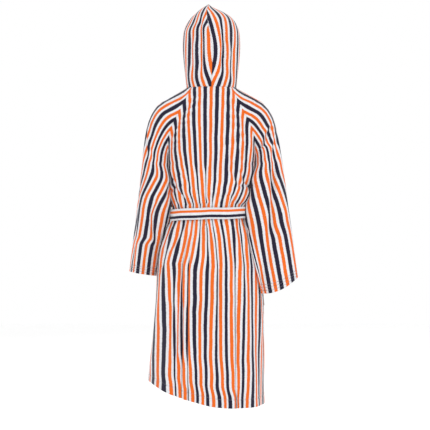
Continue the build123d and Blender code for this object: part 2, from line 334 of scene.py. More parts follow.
def hood_grid(side):
    """One half of the hood. Column 0 is at the face, and the last is at the centre seam."""
    p = np.array(HOOD, float)
    z_fine = np.linspace(0, p[-1, 0], 400)
    fine = smooth(p, z_fine)
    run = np.concatenate([[0], np.cumsum(np.hypot(np.diff(z_fine), np.diff(fine[:, 1])))])
    z_rows = np.interp(np.linspace(0, run[-1], ROWS_HOOD + 1), run, z_fine)
    rows, flats = [], []
    for z in z_rows:
        cy, a, b = smooth(p, z)[0]
        y_face = FACE_Y + FACE_SLOPE * -z
        low = math.acos(np.clip((y_face - cy) / b, -0.985, 0.985))
        g = np.linspace(low, 0, COLUMNS_HOOD + 1)
        lean = smooth(SEAM_LEAN, z)[0, 0] * np.exp(-((g * a / 48.0) ** 2))
        x, y = side * a * np.sin(g) + lean, cy + b * np.cos(g)
        rows.append(np.column_stack([x, y, np.full_like(x, z)]))
        fine_g = np.linspace(low, 0, 50)
        arc = np.hypot(np.diff(a * np.sin(fine_g)), np.diff(b * np.cos(fine_g))).sum()
        flats.append(np.linspace(0, arc, COLUMNS_HOOD + 1))
    return np.array(rows), np.array(flats)


back, back_flat, back_widths, heights = body_grid("back")
left, left_flat, _, _ = body_grid("left_front")
right, right_flat, _, _ = body_grid("right_front")
sleeves = {side: sleeve_grid(side, back_widths) for side in (1, -1)}
hoods = {side: hood_grid(side) for side in (1, -1)}


# ---------------------------------------------------------------- one welded cloth

class Cloth:
    """Vertices of every panel, welded where panels are sewn together."""

    def __init__(self):
        self.at, self.rest, self.faces, self.index = [], [], [], {}

    def add(self, name, grid, rest, shared):
        """A panel's vertices. shared gives the ones that it has in common with panels added before."""
        rows, columns = grid.shape[:2]
        index = np.full((rows, columns), -1)
        for (r, c), value in shared.items():
            index[r, c] = value
        for r in range(rows):
            for c in range(columns):
                if index[r, c] < 0:
                    index[r, c] = len(self.at)
                    self.at.append(grid[r, c])
                    self.rest.append(rest[r, c])
        self.index[name] = index

    def close(self, name, flip):
        """The panel's faces."""
        ix = self.index[name]
        for r in range(ix.shape[0] - 1):
            for c in range(ix.shape[1] - 1):
                face = [ix[r, c], ix[r, c + 1], ix[r + 1, c + 1], ix[r + 1, c]]
                face = list(dict.fromkeys(int(v) for v in face))
                if len(face) > 2:
                    self.faces.append(face[::-1] if flip else face)


def rest_of_body(grid, flat):
    """The panel before the belt gathers it: each row as wide as its cloth."""
    rest = grid.copy()
    for i in range(len(grid)):
        cx, cy = body_at(heights[i])[:2, 0]
        have = np.linalg.norm(np.diff(grid[i], axis=0), axis=1).sum()
        want = abs(flat[i, -1] - flat[i, 0])
        k = 1 + (want / have - 1) * (1 if i > ROWS_RAGLAN else ease((i / ROWS_RAGLAN - 0.7) / 0.3))
        rest[i, :, 0] = cx + (grid[i, :, 0] - cx) * k
        rest[i, :, 1] = cy + (grid[i, :, 1] - cy) * k
    return rest


def rest_of_sleeve(grid, f, flat, seam_back, seam_front, underarm_rest):
    """The sleeve as wide as its cloth, joined to the seams of the panels beside it."""
    rest = grid.copy()
    for i in range(len(grid)):
        have = np.linalg.norm(np.diff(grid[i], axis=0), axis=1).sum()
        want = 2 * (flat[i, 0] - flat[i].min())
        k = max(want / have, 1.0)
        k = 1 + (k - 1) * min(1.0, i / 12)
        anchor = (grid[i, 0] + grid[i, -1]) / 2
        row = anchor + (grid[i] - anchor) * k
        if i <= ROWS_RAGLAN:
            to_back, to_front = seam_back[i] - row[0], seam_front[i] - row[-1]
        else:
            to_back = to_front = underarm_rest
        rest[i] = row + pulled(f, to_back, to_front)
    return rest


# flat position of each planned fold, the cloth that it hides at the belt, and how far it reaches up and down
FOLDS = {
    "left_front": [(60, 20, 160, 120), (130, 20, 120, 200), (200, 20, 80, 240), (5, 16, 60, 200)],
    "right_front": [(-60, 20, 160, 120), (-130, 20, 120, 200), (-200, 20, 80, 240), (0, 16, 80, 200)],
}

STRIPE = 39.6  # one repeat of the towelling: orange, white, navy, white
MIDDLE_STRIPE = 5  # how many orange stripes of the back lie to either side of the middle one
FOLD_DEPTH = 0.42  # how far a fold dips, as a share of the cloth that it hides
# the pleats that the belt draws the back into: height, where the middle stripe lies, and the cloth that goes
# out of sight between each stripe and the next, from the wearer's left to the right
PLEATS = [
    (-60, 0, 0, 0, 0, 0, 0, 0, 0, 0, 0, 0),
    (-215, 0, 0, 0, 0, 5, 5, 5, 0, 0, 5, 0),
    (-315, 5, 0, 0, 10, 10, 15, 5, 0, 5, 5, 0),
    (-404, 10, 10, 10, 15, 15, 25, 15, 5, 20, 10, 15),
    (-446, 10, 5, 25, 25, 15, 25, 15, 5, 0, 15, 20),
    (-500, 0, 0, 25, 25, 10, 15, 15, 5, 5, 10, 10),
    (-600, -10, 0, 15, 20, 0, 0, 15, 5, 10, 5, 5),
    (-1010, 0, 10, 20, 15, 5, 5, 0, 5, 20, 5, 0),
]


def push_out(row, z, amount):
    """Moves a row of points out from the body's axis, each by its own amount."""
    away = row[:, :2] - body_at(z)[:2, 0]
    away /= np.linalg.norm(away, axis=1)[:, None]
    row[:, :2] += away * amount[:, None]


def under_belt(z):
    """How deep a fold may be at a height: the belt presses it flat."""
    return 0.35 if BELT_LOW - 1 <= z <= BELT_TOP + 1 else 1.0


def drawn_in(s, known, total, calm):
    """Where the cloth at s lies along the panel, and how far it dips.

    It folds away between stripes that lie close. Where calm is 1 it only closes up evenly, with no folds."""
    at_s = np.array([k for k, _ in known])
    at_run = np.array([r for _, r in known])
    room = np.minimum(at_s - s[0], s[-1] - at_s)
    # towards either edge the places give way to an even spread between the edge and the last place inside it
    sure = ease((room - 2) / 80)
    middle = len(at_s) // 2
    for k in range(middle - 1, -1, -1):
        even = at_run[k + 1] * (at_s[k] - s[0]) / (at_s[k + 1] - s[0])
        at_run[k] = even + (at_run[k] - even) * sure[k]
    for k in range(middle + 1, len(at_s)):
        even = total - (total - at_run[k - 1]) * (s[-1] - at_s[k]) / (s[-1] - at_s[k - 1])
        at_run[k] = even + (at_run[k] - even) * sure[k]
    inner = room > 2
    at_s = np.concatenate([[s[0]], at_s[inner], [s[-1]]])
    at_run = np.concatenate([[0], at_run[inner], [total]])
    for k in range(1, len(at_run)):
        at_run[k] = max(at_run[k], at_run[k - 1] + min(3, 0.5 * (at_s[k] - at_s[k - 1])))
    at_run *= total / at_run[-1]
    run, dip = np.interp(s, at_s, at_run), np.zeros_like(s)
    for k in range(len(at_s) - 1):
        width = at_s[k + 1] - at_s[k]
        hidden = width - (at_run[k + 1] - at_run[k])
        if hidden <= 0:
            continue
        inside = (s > at_s[k]) & (s < at_s[k + 1])
        t = s[inside] - at_s[k]
        soft = max(7.0, hidden / 1.7)
        edge = math.tanh(width / 2 / soft)
        fold_step = 0.5 + 0.5 * np.tanh((t - width / 2) / soft) / edge
        run[inside] = at_run[k] + t - hidden * fold_step
        dip = dip + min(hidden, 30.0) * FOLD_DEPTH * np.exp(-(((s - at_s[k] - width / 2) / 10.0) ** 2))
    return run + (np.interp(s, at_s, at_run) - run) * calm, dip * (1 - 0.7 * calm)


def gathered(grid, flat):
    """The back panel with its gathers."""
    out = grid.copy()
    table = np.array(PLEATS, float)
    for i in range(2, len(grid)):
        z = heights[i]
        middle, *taken = at_height(table, z)
        run = run_along(grid[i])
        places = np.concatenate([[0], np.cumsum(STRIPE - np.array(taken[::-1]))])
        places += np.interp(middle, grid[i, :, 0], run) - places[MIDDLE_STRIPE]
        known = [(STRIPE * (k - MIDDLE_STRIPE), place) for k, place in enumerate(places)]
        grow = ease((-z - 15) / 60)
        calm = float(ease((z - UNDERARM) / 40 + 1))
        shown, dip = drawn_in(flat[i], known, run[-1], calm)
        shown = run + (shown - run) * grow
        for k in range(3):
            out[i, :, k] = np.interp(shown, run, grid[i, :, k])
        push_out(out[i], z, -(dip * grow * under_belt(z)))
    return out


def at_height(table, z):
    """Each column of a table, whose first one is the height from the top down, at one height."""
    return np.array([np.interp(-z, -table[:, 0], column) for column in table[:, 1:].T])


def tucked(grid, flat, panel):
    """Cloth is drawn into the planned folds: each one narrows what shows and dips inwards."""
    out = grid.copy()
    for i in range(ROWS_RAGLAN // 2, len(grid)):
        z, s = heights[i], flat[i]
        shown, dip = s.copy(), np.zeros_like(s)
        for at, hidden, up, down in FOLDS[panel]:
            reach = np.interp(z - BELT_TOP, [-down, -down * 0.75 - 10, -42, 0, up * 0.8, up],
                              [0, 0.16, 1, 1, 0.14, 0])
            step = np.tanh((s - at) / 9.0)
            shown = shown - reach * hidden * 0.5 * step
            dip = dip + reach * hidden * FOLD_DEPTH * under_belt(z) * np.exp(-((s - at) / 10.0) ** 2)
        first, last = s[0], s[-1]
        share = (shown - shown[0]) / (shown[-1] - shown[0])
        old = (s - first) / (last - first)
        for k in range(3):
            out[i, :, k] = np.interp(share, old, grid[i, :, k])
        push_out(out[i], z, -dip)
    return out


def ripple(grid, flat, seed, share=1.0):
    """Small folds for the gathers to grow from."""
    out = grid.copy()
    depths = np.array([(180, 0), (300, 1.5), (395, 3.0), (404, 2.4), (446, 2.4), (455, 3.0), (520, 3.5),
                       (700, 3.0), (1080, 5.0)])
    for i, z in enumerate(heights):
        amount = np.interp(-z, *depths.T)
        wave = np.interp(-z, [300, 425, 560, 1080], [60, 44, 62, 100])
        turns = 2 * math.pi * flat[i] / wave
        r = np.sin(turns + seed) + 0.6 * np.sin(turns / 1.7 + 2 * seed)
        push_out(out[i], z, share * amount * r)
    return out


def lap(grid, flat, sign, amount):
    """The over layer lies this far outside the under layer where they overlap."""
    out = grid.copy()
    for i, z in enumerate(heights):
        push_out(out[i], z, amount * ease((150 - flat[i] * sign) / 120) * np.interp(-z, [0, 120], [0.35, 1]))
    return out


back_rest = rest_of_body(back, back_flat)
left_rest, right_rest = rest_of_body(left, left_flat), rest_of_body(right, right_flat)
back = ripple(gathered(back, back_flat), back_flat, 1, 0.5)
left = ripple(tucked(left, left_flat, "left_front"), left_flat, 2)
right = ripple(tucked(right, right_flat, "right_front"), right_flat, 3)
right = lap(right, right_flat, -1, 9.0)

HOOD_MIDDLE, HOOD_EASE = np.array([0, -5, 0]), np.array([1.05, 1.05, 1.02])  # the hood's cloth is looser
cloth = Cloth()
cloth.add("back", back, back_rest, {})
for side, word, front, front_rest in ((1, "left", left, left_rest), (-1, "right", right, right_rest)):
    name = word + "_sleeve"
    grid, flat, f = sleeves[side]
    edge = -1 if side > 0 else 0
    arm_point = ROWS_RAGLAN
    under = back_rest[arm_point, edge] - back[arm_point, edge]
    rest = rest_of_sleeve(grid, f, flat, back_rest[:, edge], front_rest[:, 0], under)
    bi = cloth.index["back"]
    shared = {(r, 0): bi[r, edge] for r in range(arm_point + 1)}
    shared[(arm_point, COLUMNS_SLEEVE)] = bi[arm_point, edge]
    cloth.add(name, grid, rest, shared)
    ix = cloth.index[name]
    ix[arm_point + 1:, -1] = ix[arm_point + 1:, 0]
    shared = {(r, 0): (ix[r, -1] if r < arm_point else bi[r, edge]) for r in range(len(heights))}
    cloth.add(word + "_front", front, front_rest, shared)
for side, name in ((1, "left_hood"), (-1, "right_hood")):
    grid = hoods[side][0]
    rest = HOOD_MIDDLE + (grid - HOOD_MIDDLE) * HOOD_EASE
    shared = {}
    if side < 0:
        other = cloth.index["left_hood"]
        shared = {(r, COLUMNS_HOOD): other[r, COLUMNS_HOOD] for r in range(ROWS_HOOD + 1)}
        shared.update({(ROWS_HOOD, c): other[ROWS_HOOD, c] for c in range(COLUMNS_HOOD)})
    cloth.add(name, grid, rest, shared)
for name in cloth.index:
    cloth.close(name, name.startswith("right"))


def tube(rings):
    """A closed tube through rings of points, for a collision body."""
    verts = [p for ring in rings for p in ring]
    n = len(rings[0])
    faces = [[i * n + j, i * n + (j + 1) % n, (i + 1) * n + (j + 1) % n, (i + 1) * n + j]
             for i in range(len(rings) - 1) for j in range(n)]
    faces.append(list(range(n))[::-1])
    faces.append([(len(rings) - 1) * n + j for j in range(n)])
    return verts, faces


ARM_RADII = (36, 35, 34, 32, 30, 28, 26)  # the wearer's arm, from the shoulder down


def wearer():
    """Temporary collision bodies inside the robe: a torso and two arms."""
    g = np.linspace(0, 2 * math.pi, 41)[:-1]
    rings = []
    for z in np.linspace(-5, -720, 60):
        cx, cy, a, b = body_at(z)[:, 0]
        tuck = 14 if z > UNDERARM else 12 + 10 * ease((-z - 640) / 80)
        x, y = cx + (a - tuck) * np.sin(g), cy + (b - tuck) * np.cos(g)
        rings.append(np.column_stack([x, y, np.full(40, z)]))
    bodies = [tube(rings)]
    for side in (1, -1):
        arm = np.array(ARMS[side], float)
        path = [(95, 0, -80, 46), (142, 0, -92, 44), (166, -1, -122, 40), (178, -2, -180, 38)]
        path += [(x + w - 14 - r, y + 4, z, r) for (x, y, z, _, w, _), r in zip(arm, ARM_RADII)]
        path = np.array(path, float)
        knots = run_along(path[:, :3])
        route = np.column_stack([knots, path])
        rings = []
        for t in np.linspace(0, knots[-1], 40):
            start = t - 1 if t >= knots[-1] - 1 else t
            q, r = smooth(route, start)[0], smooth(route, start + 1)[0]
            along = (r - q)[:3] / np.linalg.norm((r - q)[:3])
            across = np.cross(along, [0, 1, 0])
            across /= np.linalg.norm(across)
            other = np.cross(along, across)
            ring = q[:3] + q[3] * (np.outer(np.cos(g), across) + np.outer(np.sin(g) * 1.25, other))
            ring[:, 0] *= side
            rings.append(ring)
        verts, faces = tube(rings)
        bodies.append((verts, [face[::-1] for face in faces] if side < 0 else faces))
    return bodies


# how firmly each part of the cloth is held where it starts, from 0 for free to 1 for pinned
SOFT_HOLD, SKIRT_HOLD, SLEEVE_HOLD, HOOD_HOLD = 0.02, 0.2, 0.15, 0.5
FRAMES = 30


def simulate(frames):
    """The cloth's vertices after it has settled on the wearer."""
    scene = bpy.context.scene
    start, rest = np.array(cloth.at) * MM, np.array(cloth.rest) * MM
    me = bpy.data.meshes.new("sim")
    me.from_pydata(start.tolist(), [], cloth.faces)
    ob = bpy.data.objects.new("sim", me)
    scene.collection.objects.link(ob)
    ob.shape_key_add(name="Basis")
    key = ob.shape_key_add(name="rest")
    key.data.foreach_set("co", rest.ravel())
    key.value = 0
    hold = np.full(len(start), SOFT_HOLD)
    under_belt_from = ROWS_RAGLAN + ROWS_CHEST
    skirt_from = under_belt_from + ROWS_BELT
    for name in BODY_PANELS:
        ix = cloth.index[name]
        hold[ix[skirt_from:].ravel()] = SKIRT_HOLD
        hold[ix[under_belt_from: skirt_from + 1].ravel()] = 1
        hold[ix[0].ravel()] = 1
        hold[ix[1].ravel()] = 0.6
    for name in ("left_sleeve", "right_sleeve", "left_hood", "right_hood"):
        if "sleeve" in name:
            hold[cloth.index[name][ROWS_RAGLAN + 4:].ravel()] = SLEEVE_HOLD
        hold[cloth.index[name][0]] = 1
    for name in ("left_hood", "right_hood"):
        ix = cloth.index[name]
        hold[ix[1:].ravel()] = HOOD_HOLD
        hold[ix[-3:].ravel()] = 0.8
    group = ob.vertex_groups.new(name="hold")
    for vertex, weight in enumerate(hold):
        group.add([vertex], float(weight), "REPLACE")
    bodies = []
    for verts, faces in wearer():
        m = bpy.data.meshes.new("wearer")
        m.from_pydata((np.array(verts) * MM).tolist(), [], faces)
        b = bpy.data.objects.new("wearer", m)
        scene.collection.objects.link(b)
        b.modifiers.new("c", "COLLISION")
        b.collision.thickness_outer = 0.004
        b.collision.cloth_friction = 8
        bodies.append(b)
    mod = ob.modifiers.new("cloth", "CLOTH")
    s = mod.settings
    s.quality = 7
    s.mass = 0.15
    s.tension_stiffness, s.compression_stiffness, s.shear_stiffness, s.bending_stiffness = 25, 25, 8, 1.2
    s.tension_damping = s.compression_damping = s.shear_damping = 8
    s.bending_damping = 1.0
    s.air_damping = 2.0
    s.vertex_group_mass = "hold"
    s.pin_stiffness = 1.0
    s.rest_shape_key = key
    c = mod.collision_settings
    c.use_collision = True
    c.distance_min = 0.004
    mod.point_cache.frame_start, mod.point_cache.frame_end = 1, frames
    scene.frame_start, scene.frame_end = 1, frames
    for frame_number in range(1, frames + 1):
        scene.frame_set(frame_number)
    dg = bpy.context.evaluated_depsgraph_get()
    done = ob.evaluated_get(dg).to_mesh()
    at = np.zeros(len(done.vertices) * 3)
    done.vertices.foreach_get("co", at)
    for o in [ob, *bodies]:
        bpy.data.objects.remove(o)
    scene.frame_set(1)
    return at.reshape(-1, 3) / MM


# ---------------------------------------------------------------- the settled panels

SEAM_PRESS = 0.5  # how far the cloth beside a seam is pressed flat


def pressed(points):
    """The seams pressed flat: the cloth beside the raglan seams and in the armpits is evened out.

    Beside the seams it only moves in or out, so that the stripes stay where they are.
    """
    share, slide = np.zeros(len(points)), np.zeros(len(points))
    normal = vertex_normals(points)
    for side, word in ((1, "left"), (-1, "right")):
        ix = cloth.index[word + "_sleeve"]
        share[ix[: ROWS_RAGLAN + 1, :5].ravel()] = SEAM_PRESS
        share[ix[: ROWS_RAGLAN + 1, -5:].ravel()] = SEAM_PRESS
        body = cloth.index["back"][: ROWS_RAGLAN + 1]
        share[(body[:, -5:] if side > 0 else body[:, :5]).ravel()] = SEAM_PRESS
        share[cloth.index[word + "_front"][: ROWS_RAGLAN + 1, :5].ravel()] = SEAM_PRESS
        armpit = np.array([side * 154.0, 0, UNDERARM])
        near = 1 - ease((np.linalg.norm((points - armpit) * [1, 0.7, 1], axis=1) - 22) / 60)
        share = np.maximum(share, 0.9 * near)
        slide = np.maximum(slide, near)
    for name in ("back", "left_front", "right_front", "left_sleeve", "right_sleeve"):
        share[cloth.index[name][:2].ravel()] = 0
    pairs = np.array([(f[k], f[(k + 1) % len(f)]) for f in cloth.faces for k in range(len(f))])
    count = np.bincount(pairs.ravel(), minlength=len(points))[:, None]
    for _ in range(14):
        total = np.zeros_like(points)
        np.add.at(total, pairs[:, 0], points[pairs[:, 1]])
        np.add.at(total, pairs[:, 1], points[pairs[:, 0]])
        step = share[:, None] * 0.6 * (total / np.maximum(count, 1) - points)
        inward = (step * normal).sum(axis=1, keepdims=True) * normal
        points = points + inward + (step - inward) * slide[:, None]
    return points


def vertex_normals(points):
    """The cloth's outward normal at each vertex."""
    total = np.zeros_like(points)
    for size in (3, 4):
        faces = np.array([f for f in cloth.faces if len(f) == size])
        if len(faces) == 0:
            continue
        a, b, c, d = (points[faces[:, k]] for k in (0, 1, 2, size - 1))
        normal = np.cross(c - a, d - b) if size == 4 else np.cross(b - a, c - a)
        for k in range(size):
            np.add.at(total, faces[:, k], normal)
    return total / np.maximum(np.linalg.norm(total, axis=1, keepdims=True), 1e-9)


settled = pressed(simulate(FRAMES))
normals = vertex_normals(settled)


def catmull(values, at):
    """Rows of values read at fractional row numbers, along a smooth curve through them."""
    ends = [2 * values[:1] - values[1:2], values, 2 * values[-1:] - values[-2:-1]]
    v = np.concatenate(ends)
    at = np.clip(np.asarray(at, float), 0, len(values) - 1)
    k = np.minimum(at.astype(int), len(values) - 2)
    t = (at - k).reshape((-1,) + (1,) * (values.ndim - 1))
    p, a, b, n = v[k], v[k + 1], v[k + 2], v[k + 3]
    return 0.5 * (2 * a + (b - p) * t + (2 * p - 5 * a + 4 * b - n) * t**2 + (3 * a - p - 3 * b + n) * t**3)


FINE = 2  # how many fine cells a cell of the simulated grid becomes


class Panel:
    """A settled panel on its fine grid: its middle surface, outward normals and cloth coordinates."""

    def __init__(self, at, normal, cloth_at):
        self.at, self.normal, self.cloth_at = at, normal, cloth_at

    def read(self, rows, columns):
        """Points, unit normals and cloth coordinates at fractional rows and columns."""
        stack = catmull(np.dstack([self.at, self.normal, self.cloth_at]), rows)
        stack = catmull(stack.swapaxes(0, 1), columns).swapaxes(0, 1)
        normal = stack[..., 3:6]
        normal = normal / np.maximum(np.linalg.norm(normal, axis=2, keepdims=True), 1e-6)
        return stack[..., :3], normal, stack[..., 6:8]

    def refined(self):
        return Panel(*self.read(*(np.linspace(0, n, n * FINE + 1) for n in (self.rows, self.columns))))

    def beside(self, other, own, others):
        """One panel over a seam: some of this one's columns, then some of the other's."""
        parts = [(self, own), (other, others)]
        return Panel(*(np.concatenate([getattr(p, key)[:, c] for p, c in parts], axis=1)
                       for key in ("at", "normal", "cloth_at")))

    def crease(self, path, hidden, depth, width=6.0, lip=0.35, side=1, span=(0, None)):
        """Folds the cloth in along a path of (row, column), which hides some of it.

        The fold fades out at both ends of the path. side says on which side the cloth rolls over it."""
        path = np.array(path, float)
        rows = np.arange(self.rows + 1)
        column = np.interp(rows, path[:, 0], path[:, 1])
        strength = np.interp(rows, path[:, 0], path[:, 2])
        cell = np.linalg.norm(np.diff(self.at, axis=1), axis=2)
        run = np.concatenate([np.zeros((len(rows), 1)), np.cumsum(cell, axis=1)], axis=1)
        place = np.array([np.interp(c, np.arange(self.columns + 1), r) for c, r in zip(column, run)])
        away = run - place[:, None]
        g = ease(strength)[:, None]
        beside = away - side * 2.1 * width
        dip = depth * (np.exp(-((away / width) ** 2)) - lip * np.exp(-((beside / width) ** 2)))
        self.at = self.at - self.normal * (dip * g)[..., None]
        part = slice(*span)
        run, away = run[:, part], away[:, part]
        share = (run - run[:, :1]) / (run[:, -1:] - run[:, :1])
        first, last = self.cloth_at[:, part][:, :1, 0], self.cloth_at[:, part][:, -1:, 0]
        step = 0.5 + 0.5 * np.tanh(away / width)
        shift = np.sign(last - first) * hidden * g * (step - ease_ends(share, step))
        self.cloth_at = self.cloth_at.copy()
        self.cloth_at[:, part, 0] += shift

    @property
    def rows(self):
        return self.at.shape[0] - 1

    @property
    def columns(self):
        return self.at.shape[1] - 1


def ease_ends(share, step):
    """What a fold takes back evenly, so that the cloth still meets both of its seams."""
    return step[:, :1] + (step[:, -1:] - step[:, :1]) * share


def along_of(values, shape):
    """One value for each row, spread over a whole grid."""
    return np.broadcast_to(np.asarray(values, float)[:, None], shape)


def settled_panel(name, across, along):
    """A panel of the settled cloth, with its cloth coordinates, on the fine grid."""
    index = cloth.index[name]
    shape = index.shape
    return Panel(settled[index], normals[index], np.dstack([across, along_of(along, shape)])).refined()


def run_of(grid):
    """How far each row lies along the panel, measured down its middle column."""
    middle = grid[:, grid.shape[1] // 2]
    return run_along(middle)


# where an orange stripe's middle lies, measured from the hood's centre seam at its fullest
HOOD_ORANGE = {1: 9.5, -1: 31.3}
# the centre seam is cut on a curve: height, and how much less cloth there is than at its fullest
SEAM_CUT = {
    1: [(0, 29), (48, 10), (90, 2), (133, 0), (165, 3), (194, 9.5), (214, 27), (243, 46), (284, 60)],
    -1: [(0, 31), (51, 11.5), (90, 3), (133, 0), (200, 1), (245, 11.5), (272, 31), (284, 36)],
}

panels = {
    "back": settled_panel("back", back_flat, heights),
    "left_front": settled_panel("left_front", left_flat, heights),
    "right_front": settled_panel("right_front", right_flat, heights),
}
for side, word in ((1, "left"), (-1, "right")):
    grid, across, _ = sleeves[side]
    panels[word + "_sleeve"] = settled_panel(word + "_sleeve", across, -run_of(grid))
    grid, across = hoods[side]
    cut = smooth(SEAM_CUT[side], grid[:, -1, 2])
    across = across[:, -1:] - across - HOOD_ORANGE[side] + cut
    panels[word + "_hood"] = settled_panel(word + "_hood", across, run_of(grid))


def row_near(panel, z):
    """The whole row whose middle is nearest to a height."""
    return int(np.argmin(np.abs(panel.at[:, panel.columns // 2, 2] - z)))


def column_near(panel, row, x, back=True):
    """The whole column nearest to x on a row, on the panel's back or front side."""
    far = np.abs(panel.at[row, :, 0] - x)
    middle = np.median(panel.at[row, :, 1])
    far = far + np.where((panel.at[row, :, 1] > middle) == back, 0, 1e3)
    return int(np.argmin(far))


def fold(name, points, hidden, depth, **more):
    """A crease through points of x, z and strength, in millimetres."""
    panel = panels[name]
    path = []
    for x, z, strength in points:
        row = row_near(panel, z)
        path.append((row, column_near(panel, row, x), strength))
    path.sort()
    panel.crease(path, hidden, depth, **more)


def tree_of(*grids):
    """A search tree over the faces of grids of points."""
    points, faces = [], []
    for grid in grids:
        rows, columns = grid.shape[:2]
        first = len(points)
        points += grid.reshape(-1, 3).tolist()
        faces += [(first + i * columns + j, first + i * columns + j + 1,
                   first + (i + 1) * columns + j + 1, first + (i + 1) * columns + j)
                  for i in range(rows - 1) for j in range(columns - 1)]
    return BVHTree.FromPolygons(points, faces)


FAR = 900.0


def lifted(grid, tree, gap, share):
    """The grid's points moved out from the body's axis, so that they clear a surface inside them by gap."""
    need = np.zeros(grid.shape[:2])
    out = np.zeros_like(grid)
    for i, j in np.ndindex(need.shape):
        x, y, z = grid[i, j]
        middle_x, middle_y = body_at(z)[:2, 0]
        away = np.array([x - middle_x, y - middle_y, 0.0])
        radius = np.linalg.norm(away)
        away /= radius
        out[i, j] = away
        start = np.array([middle_x, middle_y, z]) + away * FAR
        hit = tree.ray_cast(Vector(start), Vector(-away))
        if hit[0] is not None:
            need[i, j] = max(0.0, FAR - hit[3] + gap - radius)
    soft = need.copy()
    for _ in range(3):
        padded = np.pad(soft, 1, mode="edge")
        around = padded[:-2, 1:-1] + padded[2:, 1:-1] + padded[1:-1, :-2] + padded[1:-1, 2:]
        soft = np.maximum(need, around / 4)
    return grid + out * (soft * share)[..., None]


def overlap_share(panel, reach):
    """1 where the right front lies over the left one, fading to 0 towards the right side seam."""
    s = panel.cloth_at[..., 0]
    return ease((s + reach) / 40)


LAP_GAP = 9.5  # between the middle surfaces of the two fronts
SLEEVE_GAP = 5.0  # between those of a sleeve and the body
fold("left_hood", [(34, 12, 0.0), (32, 45, 0.35), (31, 90, 1.0), (30, 150, 1.0), (34, 205, 0.6),
                   (30, 250, 0.0)], 22, 8.0, side=-1)
fold("right_hood", [(-38, 12, 0.0), (-36, 45, 0.35), (-38, 90, 1.0), (-41, 150, 1.0), (-34, 205, 0.5),
                    (-24, 250, 0.0)], 20, 8.0, side=-1)
fold("left_hood", [(62, 20, 0.0), (66, 80, 0.8), (70, 130, 1.0), (64, 190, 0.0)], 7, 5.0, width=9.0)
fold("right_hood", [(-66, 10, 0.0), (-68, 50, 0.9), (-70, 110, 1.0), (-68, 160, 0.0)], 7, 5.0, width=9.0)
BACK_HALF = (0, FINE * COLUMNS_SLEEVE // 2 + 1)
fold("left_sleeve", [(166, -350, 0.0), (184, -385, 0.6), (205, -428, 1.0), (198, -470, 1.0), (190, -500, 0.8),
                     (184, -528, 0.0)], 15, 10.0, width=7.0, side=-1, span=BACK_HALF)
fold("back", [(-84, -985, 0.0), (-88, -1025, 0.8), (-95, -1060, 1.0)], 14, 9.0, width=5.0)
fold("back", [(154, -560, 0.0), (156, -620, 0.9), (154, -780, 1.0), (158, -900, 0.8), (160, -960, 0.0)],
     9, 9.0)
fold("back", [(104, -700, 0.0), (100, -760, 0.8), (98, -830, 0.8), (96, -950, 0.3), (94, -1050, 0.0)],
     4, 8.0, width=8.0)
fold("right_sleeve", [(-206, -112, 0.0), (-190, -140, 1.0), (-168, -175, 1.0), (-158, -196, 0.0)],
     14, 9.0, width=7.0, span=BACK_HALF)
fold("right_sleeve", [(-212, -230, 0.0), (-207, -300, 1.0), (-200, -400, 1.0), (-196, -450, 0.9),
                      (-200, -500, 0.0)], 12, 8.0, width=8.0, span=BACK_HALF)
right_front, left_front = panels["right_front"], panels["left_front"]
share = overlap_share(right_front, 110)
share[FINE * (ROWS_RAGLAN + ROWS_CHEST): FINE * (ROWS_RAGLAN + ROWS_CHEST + ROWS_BELT) + 1] *= 0.3
share[:3 * FINE] = 0
right_front.at = lifted(right_front.at, tree_of(left_front.at), LAP_GAP, share)
body_tree = tree_of(panels["back"].at, left_front.at, right_front.at)
for word in ("left", "right"):
    sleeve = panels[word + "_sleeve"]
    underarm = FINE * ROWS_RAGLAN
    share = ease((np.arange(sleeve.rows + 1) / FINE - ROWS_RAGLAN - 1) / 5.0)
    sleeve.at[underarm:] = lifted(sleeve.at[underarm:], body_tree, SLEEVE_GAP, share[underarm:, None])


# ---------------------------------------------------------------- materials

class Nodes:
    """Short names for building a material's nodes."""

    def __init__(self, name):
        self.material = bpy.data.materials.new(name)
        self.material.use_nodes = True
        self.tree = self.material.node_tree
        self.shader = self.tree.nodes["Principled BSDF"]

    def add(self, kind, inputs=None, **settings):
        node = self.tree.nodes.new("ShaderNode" + kind)
        for key, value in settings.items():
            setattr(node, key, value)
        for key, value in (inputs or {}).items():
            self.set(node.inputs[key], value)
        return node

    def set(self, socket, value):
        if isinstance(value, bpy.types.NodeSocket):
            self.tree.links.new(value, socket)
        else:
            socket.default_value = value

    def math(self, operation, a, b=0.0, c=0.0):
        return self.add("Math", {0: a, 1: b, 2: c}, operation=operation).outputs[0]

    def mix(self, share, a, b, blend="MIX"):
        node = self.add("Mix", {0: share}, data_type="RGBA", blend_type=blend)
        self.set(node.inputs[6], a)
        self.set(node.inputs[7], b)
        return node.outputs[2]

    def across_and_along(self):
        split = self.add("SeparateXYZ", {0: self.cloth()})
        return split.outputs[0], split.outputs[1]

    def cloth(self):
        return self.add("UVMap", uv_map="cloth").outputs[0]


ORANGE = (0.86, 0.155, 0.018, 1)
WHITE = (0.80, 0.815, 0.85, 1)
NAVY = (0.020, 0.017, 0.038, 1)
# painted shade: the real thread is pale, and this grey stands for the shadow in the grooves that the rows of
# stitches press in
THREAD_SHADE_GREY = (0.30, 0.30, 0.34, 1)

STRIPE_BANDS = [(0.0, ORANGE), (0.272, WHITE), (0.472, NAVY), (0.8, WHITE)]
STRIPE_PHASE = 100.136  # puts the middle of an orange stripe at 0
LOOPS_PER_METRE = 620


